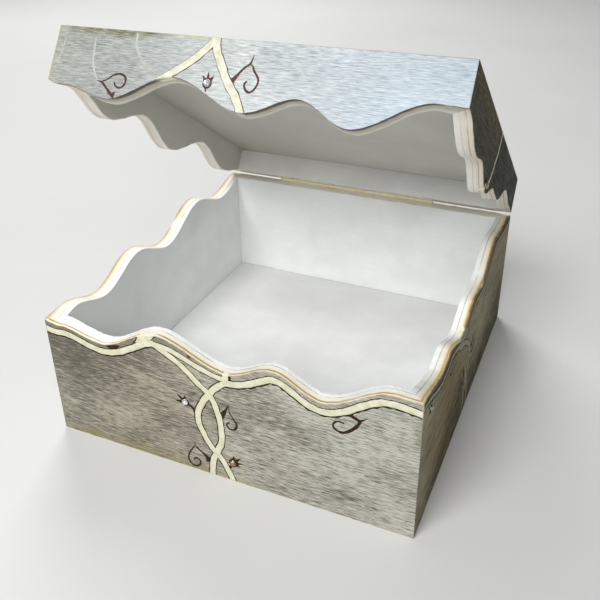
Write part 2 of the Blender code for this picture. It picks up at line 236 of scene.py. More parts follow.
def stain(name, length, seed, dark, light, slope=0.0, cloudy=1.5, rub=0.0, rub_from=0.0, rub_to=120.0, turn=0.27,
          worn=(), ticks=0.5, up_grain=False, rough=0.44, ochre=1.0, streaks=1.3, hatch=2.2, rises=(), fineness=1.0, shine=0.35, sheen=(1.0, 1.0, 1.0), cast=()):
    """Plywood stained silvery grey: short ticks along the grain, cloudy patches, soft slanting rubs and an
    ochre tinge where edges are worn. worn lists (axis, position, direction, reach, strength), then perhaps the
    (from, to) that it keeps to along the edge and two colours of its own. rises lists (axis, from, to, amount)
    by which the tone rises, sheen the tint of the gloss's reflection, a painted reflection where it isn't white; cast
    lists (place along s as a share of the length, tint)."""
    m = Mat(name)
    at = m.attribute("at")
    s, z, _ = m.parts(at)

    def along(a, b, shift, **kw):
        return m.mapped(at, (b, a, 0.4) if up_grain else (a, b, 0.4), shift, **kw)

    grain = m.noise(along(0.050, 0.75, (seed, seed * 1.7, 0)), 3, 0.6)
    fine = m.noise(along(0.17 * fineness, 2.1 * fineness, (seed * 2.3, 5, 0)), 2.0, 0.6)
    cloud = m.noise(m.mapped(at, (0.020, 0.030, 0.02), (seed * 3.1, 9, 0)), 3, 0.55)
    short = m.noise(along(0.19 * fineness, 1.9 * fineness, (seed * 5.3, 21, 0)), 1.0, 0.5)
    tone = m.math("ADD", m.math("MULTIPLY_ADD", grain, streaks, -streaks / 2), m.math("MULTIPLY_ADD", fine, hatch, -hatch / 2))
    tone = m.math("ADD", tone, m.math("MULTIPLY_ADD", cloud, cloudy, -cloudy / 2))
    tone = m.math("ADD", tone, m.math("MULTIPLY_ADD", s, slope / length, 0.5 - slope / 2))
    for axis, low, high, amount in rises:
        tone = m.math("ADD", tone, m.span(s if axis == "s" else z, low, high, -amount / 2, amount / 2))
    colour = m.ramp(tone, [(0.0, dark), (0.5, tuple((a + b) / 2 for a, b in zip(dark, light))), (1.0, light)])
    if rub:
        streak = m.noise(m.mapped(at, (0.010, 0.20, 0.1), (seed * 1.9, 3, 0), turn=turn), 2.5, 0.55, warp=0.2)
        where = m.math("MULTIPLY", m.span(m.noise(m.mapped(at, (0.025, 0.025, 0.02), (seed, 40, 0)), 2, 0.5), 0.36, 0.62),
                       m.math("MULTIPLY", m.span(s, rub_from - 12.0, rub_from + 6.0), m.span(s, rub_to + 20.0, rub_to - 20.0)))
        amount = m.math("MULTIPLY", m.math("MULTIPLY", m.span(streak, 0.53, 0.68), where), rub)
        amount = m.math("MULTIPLY", amount, m.math("MULTIPLY_ADD", fine, 1.1, 0.45), clamp=True)
        colour = m.mix(amount, colour, (light[0] * 1.12, light[1] * 1.10, light[2] * 1.0))
    near, patches = None, []
    ragged = m.noise(m.mapped(at, (0.09, 0.13, 0.1), (seed * 4.1, 13, 0)), 4, 0.62)
    for axis, position, direction, reach, strength, *more in worn:
        gone = m.math("MULTIPLY_ADD", s if axis == "s" else z, direction, -direction * position)
        gone = m.math("ADD", gone, m.math("MULTIPLY_ADD", ragged, 2.2 * reach, -1.1 * reach))
        gone = m.span(gone, reach, 0.0, 0.0, strength)
        if more:
            other, (low, high) = (z if axis == "s" else s), more[0]
            gone = m.math("MULTIPLY", gone, m.math("MULTIPLY", m.span(other, low - 6.0, low + 6.0), m.span(other, high + 6.0, high - 6.0)))
        if len(more) > 1:
            patches.append((gone, more[1], more[2]))
        else:
            near = gone if near is None else m.math("MAXIMUM", near, gone)
    if near is not None:
        tint = m.mix(fine, (dark[0] * 1.5, dark[1] * 1.42, dark[2] * (1.5 - 0.75 * ochre)),
                     (light[0] * 1.02, light[1] * 0.97, light[2] * (1.0 - 0.42 * ochre)))
        colour = m.mix(near, colour, tint)
    for gone, deep, pale in patches:
        colour = m.mix(gone, colour, m.mix(m.span(fine, 0.36, 0.64), deep, pale))
    if cast:
        colour = m.mix(1.0, colour, m.ramp(m.math("MULTIPLY", s, 1 / length), cast), "MULTIPLY")
    pores = m.math("MULTIPLY", m.span(short, 0.37, 0.27), ticks)
    colour = m.mix(pores, colour, tuple(x * 0.40 for x in dark))
    m.set(Base_Color=colour, Roughness=m.math("MULTIPLY_ADD", grain, 0.22, rough - 0.08), Specular_IOR_Level=shine,
          Specular_Tint=sheen)
    m.bump(m.math("ADD", m.math("MULTIPLY", grain, 0.5), m.math("MULTIPLY", fine, 0.6)), 0.00014, 0.5)
    return m.mat


def strip_stain(name, length, first, last, seed, shine=0.3):
    """The darker stain between the rim and the band that follows it."""
    m = Mat(name)
    at = m.attribute("at")
    s, _, _ = m.parts(at)
    fine = m.noise(m.mapped(at, (0.14, 2.2, 0.4), (seed, 4, 0)), 2.5, 0.6)
    patch = m.noise(m.mapped(at, (0.06, 0.1, 0.1), (seed * 2, 8, 0)), 3, 0.55)
    place_ = m.math("ADD", m.span(s, 0.28 * length, 0.62 * length), m.math("MULTIPLY_ADD", patch, 0.8, -0.4), clamp=True)
    colour = m.mix(place_, first, last)
    colour = m.mix(m.span(fine, 0.36, 0.62, 0.75, 0.0), colour, tuple(x * 0.40 for x in first))
    m.set(Base_Color=colour, Roughness=m.math("MULTIPLY_ADD", fine, 0.2, 0.40), Specular_IOR_Level=shine)
    m.bump(fine, 0.00018, 0.5)
    return m.mat


def cream_paint(name, low, middle, high, shine=0.5):
    m = Mat(name)
    at = m.attribute("at")
    soft = m.noise(m.mapped(at, (0.3, 0.3, 0.3)), 3, 0.5)
    fine = m.noise(m.mapped(at, (1.6, 1.6, 1.6)), 2, 0.5)
    colour = m.ramp(soft, [(0.32, low), (0.5, middle), (0.68, high)])
    colour = m.mix(m.span(fine, 0.60, 0.74, 0.0, 0.4), colour, (low[0] * 0.86, low[1] * 0.82, low[2] * 0.7))
    m.set(Base_Color=colour, Roughness=m.math("MULTIPLY_ADD", soft, 0.2, 0.40), Specular_IOR_Level=shine)
    m.bump(m.math("ADD", soft, m.math("MULTIPLY", fine, 0.3)), 0.00025, 0.6)
    return m.mat


def burnt_line(name, deep, middle, pale):
    m = Mat(name)
    at = m.attribute("at")
    char = m.noise(m.mapped(at, (0.8, 0.8, 0.8)), 4, 0.65)
    colour = m.ramp(char, [(0.3, deep), (0.55, middle), (0.8, pale)])
    m.set(Base_Color=colour, Roughness=m.math("MULTIPLY_ADD", char, 0.2, 0.72), Specular_IOR_Level=0.15)
    m.bump(char, 0.00025, 0.7)
    return m.mat


def white_paint(name, seed, tint=(0.80, 0.815, 0.81), thin=()):
    """Brushed white paint: soft streaks, faint grey bloom and the odd thin spot. thin is (axis, from, to,
    strength) of a stretch painted greyer as shade, greyest at from and fading out towards to."""
    m = Mat(name)
    at = m.attribute("at")
    brush = m.noise(m.mapped(at, (0.03, 0.9, 0.5), (seed, 2, 0)), 4, 0.6)
    bloom = m.noise(m.mapped(at, (0.03, 0.03, 0.03), (seed * 2, 7, 0)), 4, 0.55)
    spot = m.noise(m.mapped(at, (0.35, 0.35, 0.35), (seed * 3, 11, 0)), 4, 0.6)
    colour = m.mix(m.span(bloom, 0.35, 0.68), tint, tuple(x * 0.90 for x in tint))
    colour = m.mix(m.span(brush, 0.40, 0.72, 0.0, 0.5), colour, tuple(x * 0.93 for x in tint))
    colour = m.mix(m.span(spot, 0.66, 0.78, 0.0, 0.35), colour, (tint[0] * 0.78, tint[1] * 0.76, tint[2] * 0.68))
    if thin:
        # painted shade: the thin stretch is greyed towards grey-brown, strongest at its first place
        less = m.span(m.math("MULTIPLY_ADD", bloom, 40.0, m.parts(at)["sz".index(thin[0])]), thin[1] + 20.0, thin[2] + 20.0, thin[3], 0.0)
        colour = m.mix(less, colour, m.mix(brush, (0.34, 0.325, 0.28), (0.50, 0.48, 0.42)))
    m.set(Base_Color=colour, Roughness=m.math("MULTIPLY_ADD", brush, 0.2, 0.38))
    m.bump(m.math("ADD", brush, m.math("MULTIPLY", spot, 0.5)), 0.00015, 0.5)
    return m.mat


def ply_edge(name, plies, seed, lap=5.3, burnt=(), tinge=None, lapped=(0.87, 0.88, 0.86)):
    """The sawn edge, coloured by depth from the outer face: plies lists (depth, colour). burnt lists
    (from, to, depth) where the saw or the burning iron scorched it; white paint laps over from inside."""
    m = Mat(name)
    at = m.attribute("at")
    s, _, d = m.parts(at)
    ragged = m.noise(m.mapped(at, (0.16, 0.16, 0.02), (seed, 0, 0)), 4, 0.6)
    close = m.noise(m.mapped(at, (0.9, 0.9, 0.15), (seed, 6, 0)), 3, 0.6)
    shift = m.math("ADD", m.math("MULTIPLY_ADD", ragged, 0.9, -0.45), m.math("MULTIPLY_ADD", close, 0.36, -0.18))
    deep = m.math("MULTIPLY", m.math("ADD", d, shift), 1 / 8)
    colour = m.ramp(deep, [(x / 8, c) for x, c in plies])
    strong = m.noise(m.mapped(at, (0.05, 0.05, 0.02), (seed * 3, 17, 0)), 2, 0.5)
    colour = m.mix(m.span(strong, 0.50, 0.72, 0.0, 0.75), colour, tinge or (0.88, 0.86, 0.77))
    thick = m.noise(m.mapped(at, (0.07, 0.07, 0.2), (seed * 2, 3, 0)), 4, 0.65)
    over = m.span(m.math("MULTIPLY_ADD", thick, 2.6, d), lap + 1.2, lap + 1.5)
    colour = m.mix(over, colour, lapped)
    wrap = m.span(m.math("SUBTRACT", m.math("MULTIPLY", m.attribute("wrap", "Fac"), 5.0),
                         m.math("ADD", d, m.math("MULTIPLY", close, 1.6))), 0.0, 0.4)
    colour = m.mix(wrap, colour, (0.80, 0.79, 0.62))
    for first, last, reach in burnt:
        here = m.math("MULTIPLY", m.span(s, first - 4.0, first + 5.0), m.span(s, last + 4.0, last - 5.0))
        fade = m.span(m.math("ADD", d, m.math("MULTIPLY_ADD", ragged, 2.4, -1.2)), reach + 0.5, reach - 0.7)
        colour = m.mix(m.math("MULTIPLY", m.math("MULTIPLY", here, fade), 0.9), colour, (0.060, 0.038, 0.022))
    m.set(Base_Color=colour, Roughness=m.math("MULTIPLY_ADD", close, 0.2, 0.42))
    m.bump(m.math("ADD", close, ragged), 0.0003, 0.6)
    return m.mat


def raw_edge():
    """Plywood that never shows when the box stands: pale plies, a little stain."""
    m = Mat("raw_ply")
    at = m.attribute("at")
    _, _, d = m.parts(at)
    plies = m.noise(m.mapped(at, (0.02, 0.02, 0.75)), 1, 0.4)
    fibre = m.noise(m.mapped(at, (0.12, 1.6, 1.6)), 4, 0.6)
    soil = m.noise(m.mapped(at, (0.04, 0.04, 0.04)), 3, 0.5)
    colour = m.ramp(plies, [(0.35, (0.42, 0.31, 0.17)), (0.5, (0.60, 0.49, 0.31)), (0.65, (0.72, 0.62, 0.43))])
    colour = m.mix(m.span(fibre, 0.45, 0.75, 0.0, 0.6), colour, (0.36, 0.27, 0.16))
    colour = m.mix(m.span(soil, 0.5, 0.72, 0.0, 0.5), colour, (0.34, 0.32, 0.27))
    colour = m.mix(m.span(d, 0.5, 0.0, 0.0, 0.9), colour, (0.16, 0.14, 0.10))
    m.set(Base_Color=colour, Roughness=m.math("MULTIPLY_ADD", fibre, 0.2, 0.6))
    m.bump(fibre, 0.0002, 0.5)
    return m.mat


def underside_wood():
    m = Mat("underside_ply")
    at = m.attribute("at")
    fibre = m.noise(m.mapped(at, (0.03, 0.9, 0.5)), 5, 0.62)
    figure = m.noise(m.mapped(at, (0.008, 0.06, 0.1), (3, 4, 0)), 3, 0.5, warp=0.6)
    soil = m.noise(m.mapped(at, (0.03, 0.03, 0.03), (9, 2, 0)), 4, 0.6)
    colour = m.ramp(figure, [(0.3, (0.44, 0.34, 0.21)), (0.5, (0.55, 0.45, 0.29)), (0.7, (0.62, 0.53, 0.37))])
    colour = m.mix(m.span(fibre, 0.42, 0.75, 0.0, 0.55), colour, (0.33, 0.25, 0.15))
    colour = m.mix(m.span(soil, 0.48, 0.75, 0.0, 0.7), colour, (0.34, 0.33, 0.28))
    m.set(Base_Color=colour, Roughness=m.math("MULTIPLY_ADD", fibre, 0.2, 0.56))
    m.bump(fibre, 0.0002, 0.5)
    return m.mat


def brass(name, base, dull, brushed=(60, 900, 900), rough=0.24, metal=1.0, lapped=0.0):
    """Drawn brass with fine lines along it and dull, browned patches. White paint laps over the front of a leaf
    for this share of its depth."""
    m = Mat(name)
    co = m.object_coords()
    lines_ = m.noise(m.mapped(co, brushed), 3, 0.6)
    patch = m.noise(m.mapped(co, (140, 260, 260)), 4, 0.6)
    colour = m.mix(m.span(patch, 0.42, 0.7), base, dull)
    if lapped:
        ragged = m.noise(m.mapped(co, (220, 220, 220)), 3, 0.6)
        depth = m.parts(m.tree.nodes.new("ShaderNodeTexCoord").outputs["Generated"])[1]
        over = m.span(m.math("MULTIPLY_ADD", ragged, 0.16, depth), lapped + 0.11, lapped + 0.06)
        colour = m.mix(over, colour, (0.86, 0.87, 0.85))
        metal = m.math("MULTIPLY_ADD", over, -metal, metal)
    m.set(Base_Color=colour, Metallic=metal, Roughness=m.math("MULTIPLY_ADD", lines_, 0.3, rough - 0.02))
    m.bump(lines_, 0.00003, 0.5)
    return m.mat


def glass(name, colour, deep, transmission):
    """Cut glass with a slight swirl of its own colour."""
    m = Mat(name)
    swirl = m.noise(m.mapped(m.object_coords(), (500, 500, 500)), 2, 0.5)
    m.set(Base_Color=m.mix(swirl, colour, deep), Transmission_Weight=transmission, IOR=1.56,
          Roughness=m.math("MULTIPLY_ADD", swirl, 0.05, 0.02), Coat_Weight=0.6, Coat_Roughness=0.03)
    return m.mat


def foil(name, colour):
    m = Mat(name)
    grit = m.noise(m.mapped(m.object_coords(), (2500, 2500, 2500)), 2, 0.5)
    m.set(Base_Color=m.mix(grit, colour, tuple(x * 0.75 for x in colour)), Metallic=0.9,
          Roughness=m.math("MULTIPLY_ADD", grit, 0.2, 0.16))
    return m.mat


SILVER_DARK, SILVER_LIGHT = (0.108, 0.098, 0.076), (0.480, 0.466, 0.400)
CREAM = cream_paint("cream_band_paint", (0.53, 0.515, 0.345), (0.60, 0.59, 0.43), (0.65, 0.645, 0.51))
# painted shade: the same cream band paint, made darker and browner on the base's right board
CREAM_RIGHT_SHADED = cream_paint("cream_band_paint_right_shaded", (0.20, 0.185, 0.12), (0.31, 0.29, 0.195), (0.42, 0.395, 0.265), 0.1)
CREAM_LID = cream_paint("cream_band_paint_lid", (0.46, 0.45, 0.33), (0.56, 0.555, 0.435), (0.62, 0.615, 0.515))
RAW, UNDER = raw_edge(), underside_wood()
BURN = burnt_line("burnt_line", (0.012, 0.006, 0.003), (0.034, 0.018, 0.010), (0.11, 0.070, 0.034))
BURN_LID = burnt_line("burnt_line_lid", (0.045, 0.021, 0.018), (0.098, 0.048, 0.040), (0.20, 0.115, 0.092))
# The lid's inside is the same white as the base's: WHITE_LID is that white painted darker and warmer as shade
WHITE_IN, WHITE_LID = white_paint("white_paint_base", 1.3, (0.87, 0.885, 0.88)), white_paint("white_paint_lid", 4.6, (0.69, 0.68, 0.63))
# painted shade: the lid's ceiling greyer still, greyest towards its left end
WHITE_LID_TOP_SHADED = white_paint("white_paint_lid_top_painted_shade", 4.6, (0.565, 0.555, 0.51), ("s", 5.0, 115.0, 1.0))
# painted shade: the lid's inner left wall darker
WHITE_LID_LEFT_SHADED = white_paint("white_paint_lid_left_painted_shade", 3.4, (0.60, 0.59, 0.52))
# painted light: the lid's inner back wall brighter, as if lit from the front
WHITE_LID_BACK_LIT = white_paint("white_paint_lid_back_painted_light", 5.8, (0.90, 0.895, 0.875))
# painted shade: the floor's white greys towards the back, under the open lid
WHITE_FLOOR_SHADED_REAR = white_paint("white_paint_floor_painted_shade", 7.9, (0.87, 0.885, 0.89), ("z", 185.0, 30.0, 0.32))
VENEER, CORE, GREY_PLY, PAINT = (0.80, 0.75, 0.55), (0.87, 0.85, 0.77), (0.50, 0.48, 0.40), (0.87, 0.88, 0.86)
EDGE_FRONT = ply_edge("sawn_edge_front", [
    (0.0, (0.22, 0.17, 0.10)), (0.22, (0.62, 0.56, 0.38)), (0.45, VENEER), (1.20, (0.84, 0.79, 0.60)), (1.4, (0.34, 0.18, 0.06)),
    (1.8, (0.42, 0.25, 0.09)), (2.2, (0.70, 0.50, 0.22)), (2.5, (0.87, 0.83, 0.68)), (4.7, CORE), (5.0, GREY_PLY), (5.3, GREY_PLY),
    (5.5, PAINT), (8.0, PAINT)], 2.0)
EDGE_LEFT = ply_edge("sawn_edge_left", [
    (0.0, (0.16, 0.10, 0.05)), (0.35, (0.30, 0.19, 0.08)), (0.7, (0.62, 0.43, 0.17)), (1.7, (0.70, 0.52, 0.25)), (2.1, (0.82, 0.76, 0.64)),
    (4.6, (0.82, 0.78, 0.72)), (4.9, (0.44, 0.39, 0.31)), (5.2, (0.50, 0.46, 0.38)), (5.5, PAINT), (8.0, PAINT)], 5.0)
EDGE_RIGHT = ply_edge("sawn_edge_right", [
    (0.0, (0.12, 0.09, 0.05)), (0.5, (0.46, 0.40, 0.24)), (1.3, (0.66, 0.59, 0.38)), (1.6, (0.42, 0.24, 0.07)), (2.1, (0.64, 0.47, 0.19)),
    (2.6, (0.78, 0.68, 0.43)), (3.1, (0.83, 0.78, 0.62)), (4.7, CORE), (5.0, GREY_PLY), (5.25, GREY_PLY), (5.5, PAINT), (8.0, PAINT)],
    8.0, burnt=[(14.0, 56.0, 1.0), (74.0, 122.0, 1.6), (126.0, 204.0, 1.7)])
EDGE_BACK = ply_edge("sawn_edge_back", [
    (0.0, (0.14, 0.10, 0.06)), (0.3, (0.44, 0.39, 0.26)), (1.2, (0.68, 0.64, 0.48)), (1.9, (0.76, 0.73, 0.60)), (4.6, (0.82, 0.81, 0.72)),
    (5.0, PAINT), (5.4, PAINT), (8.0, PAINT)], 11.0, tinge=(0.80, 0.78, 0.68))
# painted shade: the lid front's sawn edge faces down when open, so its plies, tinge and lapped white are painted
# greyer, near the ceiling's tone
EDGE_LID_FRONT_SHADED = ply_edge("sawn_edge_lid_front_painted_shade", [
    (0.0, (0.10, 0.065, 0.035)), (0.35, (0.20, 0.15, 0.09)), (0.8, (0.46, 0.42, 0.32)), (2.0, (0.52, 0.49, 0.39)), (2.4, (0.46, 0.42, 0.32)),
    (4.8, (0.56, 0.54, 0.45)), (5.1, (0.50, 0.47, 0.38)), (5.6, (0.62, 0.61, 0.54)), (8.0, (0.70, 0.69, 0.63))],
    14.0, burnt=[(38.0, 62.0, 2.4), (103.0, 131.0, 2.3), (150.0, 190.0, 1.9)], tinge=(0.52, 0.50, 0.41), lapped=(0.66, 0.65, 0.59))
EDGE_LID_SIDE = ply_edge("sawn_edge_lid_side", [
    (0.0, (0.30, 0.23, 0.15)), (0.35, (0.70, 0.65, 0.53)), (1.9, (0.76, 0.71, 0.61)), (2.2, (0.40, 0.25, 0.14)), (2.6, (0.74, 0.68, 0.58)),
    (4.7, (0.80, 0.76, 0.69)), (5.0, (0.56, 0.49, 0.40)), (5.3, (0.80, 0.77, 0.70)), (8.0, (0.80, 0.79, 0.73))],
    17.0, tinge=(0.80, 0.76, 0.66), lapped=(0.80, 0.79, 0.735))


# ---------------------------------------------------------------- drawing on a panel
def smooth(points, step):
    """Points every step along a smooth curve through the given ones; extra columns, such as a width, follow."""
    p = np.array(points, float)
    gaps = np.maximum(np.linalg.norm(np.diff(p[:, :2], axis=0), axis=1), 1e-6)
    t = np.concatenate([[0], np.cumsum(gaps)])
    m = np.empty_like(p)
    m[1:-1] = (p[2:] - p[:-2]) / (t[2:] - t[:-2])[:, None]
    m[0], m[-1] = (p[1] - p[0]) / gaps[0], (p[-1] - p[-2]) / gaps[-1]
    q = np.linspace(0, t[-1], max(2, int(round(t[-1] / step)) + 1))
    i = np.clip(np.searchsorted(t, q, side="right") - 1, 0, len(gaps) - 1)
    h = gaps[i][:, None]
    u = ((q - t[i]) / gaps[i])[:, None]
    return ((2 * u**3 - 3 * u**2 + 1) * p[i] + (u**3 - 2 * u**2 + u) * h * m[i]
            + (3 * u**2 - 2 * u**3) * p[i + 1] + (u**3 - u**2) * h * m[i + 1])


def sides_of(p):
    """Unit normals, to the left of the way the points run."""
    g = np.gradient(p, axis=0)
    g = g / np.maximum(np.linalg.norm(g, axis=1), 1e-9)[:, None]
    return np.stack([-g[:, 1], g[:, 0]], 1)


def turn_of(a, b, c):
    """Twice the area of a triangle, positive where it runs anticlockwise."""
    return (b[0] - a[0]) * (c[1] - a[1]) - (b[1] - a[1]) * (c[0] - a[0])


def holds(tri, p):
    """Whether an anticlockwise triangle holds the point, with a hair to spare."""
    return all(turn_of(tri[k], tri[(k + 1) % 3], p) > -1e-4 for k in range(3))


class Drawing:
    """What is painted and burnt on one panel's outer face, kept as strips of little four-sided cells."""

    def __init__(self, seed):
        self.points, self.cells, self.kinds, self.seed = [], [], [], seed

    def strip(self, p, offsets, kinds):
        """offsets is one column of distances per line along p, kinds one kind per strip between two lines."""
        n = sides_of(p)
        first = len(self.points)
        rows, cols = len(p), len(offsets)
        for i in range(rows):
            for off in offsets:
                self.points.append(tuple(p[i] + n[i] * off[i]))
        for i in range(rows - 1):
            for j in range(cols - 1):
                a = first + i * cols + j
                self.cell([a, a + 1, a + cols + 1, a + cols], kinds[j])

    def cell(self, ids, kind):
        """Adds a cell as triangles, which can't cross themselves where a strip turns sharply."""
        for j in range(1, len(ids) - 1):
            tri = [ids[0], ids[j], ids[j + 1]]
            area = turn_of(*(self.points[k] for k in tri))
            if abs(area) > 1e-4:
                self.cells.append(tri if area > 0 else tri[::-1])
                self.kinds.append(kind)

    def band(self, points, half=1.8, upper=0.5, lower=0.6, step=0.75, ready=False):
        """A cream painted band between two burnt lines; upper and lower are how wide the lines are on its left and right."""
        p = np.array(points, float) if ready else smooth(points, step)
        self.seed += 1
        along = np.concatenate([[0], np.cumsum(np.linalg.norm(np.diff(p, axis=0), axis=1))])
        hl = half * (1 + 0.07 * wobble(self.seed, along, 9.0))
        hr = half * (1 + 0.07 * wobble(self.seed + 100, along, 7.0))
        bl = upper * (1 + 0.28 * wobble(self.seed + 200, along, 5.0))
        br = lower * (1 + 0.28 * wobble(self.seed + 300, along, 6.0))
        self.strip(p, [hl + bl, hl + bl * 0.5, hl, hl * 0.6, 0 * hl, -hr * 0.6, -hr, -hr - br * 0.5, -hr - br],
                   ["burn", "burn", "cream", "cream", "cream", "cream", "burn", "burn"])

    def stroke(self, points, step=0.45):
        """A burnt stroke through (s, z, half width)."""
        q = smooth(points, step)
        self.seed += 1
        along = np.arange(len(q)) * step
        half = np.maximum(q[:, 2], 0.04) * (1 + 0.10 * wobble(self.seed, along, 3.0))
        self.strip(q[:, :2], [half, half * 0, -half], ["burn", "burn"])

    def streak(self, points, step=0.6):
        """A thin streak in the panel's second stain, through (s, z, half width)."""
        q = smooth(points, step)
        self.seed += 1
        half = np.maximum(q[:, 2], 0.04) * (1 + 0.2 * wobble(self.seed, np.arange(len(q)) * step, 4.0))
        self.strip(q[:, :2], [half, -half], ["strip"])

    def rim_strip(self, points, saw, below=True):
        """The stained strip from the rim down to the middle of the band that follows it; points as for along_rim."""
        outer_row = along_rim([(points[0][0], -0.8), (points[-1][0], -0.8)], saw, below)
        inner_row = along_rim(points, saw, below)
        first, n = len(self.points), len(outer_row)
        self.points += [tuple(p) for p in outer_row] + [tuple(p) for p in inner_row]
        for k in range(n - 1):
            self.cell([first + k, first + k + 1, first + n + k + 1, first + n + k], "strip")

    def blot(self, points, kind="burn"):
        """A filled shape round its own middle."""
        first = len(self.points)
        self.points += [tuple(map(float, p)) for p in points]
        self.points.append(tuple(np.mean(np.array(points, float), axis=0)))
        n = len(points)
        for k in range(n):
            self.cell([first + k, first + (k + 1) % n, first + n], kind)

    def bud(self, s, z, r, spikes, stem):
        """A burnt bud round a stone: a ring of char, pointed sepals and a stem."""
        self.blot([(s + (r + 0.35) * math.cos(a), z + (r + 0.35) * math.sin(a)) for a in np.linspace(0, 2 * math.pi, 18, endpoint=False)])
        for tip_s, tip_z in spikes:
            length = math.hypot(tip_s - s, tip_z - z)
            ds, dz = (tip_s - s) / length, (tip_z - z) / length
            self.stroke([(s + ds * r * 0.5, z + dz * r * 0.5, 1.25), (s + ds * r, z + dz * r, 1.05),
                         (s + ds * (r + length) / 2, z + dz * (r + length) / 2, 0.55), (tip_s, tip_z, 0.05)])
        self.stroke(stem)


def along_rim(points, saw, below=True, step=0.75):
    """Points that follow the saw line at the given distances (s, distance), square to it."""
    q = np.array(points, float)
    s = np.arange(q[0, 0], q[-1, 0] + step / 2, step)
    off = smooth([(a, b) for a, b in points], 1.0)
    off = np.interp(s, off[:, 0], off[:, 1])
    z = line(saw, s)
    slope = np.gradient(z, s)
    size = np.sqrt(1 + slope**2)
    if below:
        return np.stack([s + slope / size * off, z - HALF_KERF - off / size], 1)
    return np.stack([s - slope / size * off, z + HALF_KERF + off / size], 1)


# ---------------------------------------------------------------- building a panel
RINGS = [0, .04, .1, .18, .28, .45, .7, 1.0, 1.4, 1.9, 2.5, 3.2, 4.0, 4.8, 5.6, 6.3, 6.9, 7.3, 7.55, 7.75, 7.9, 8.0]


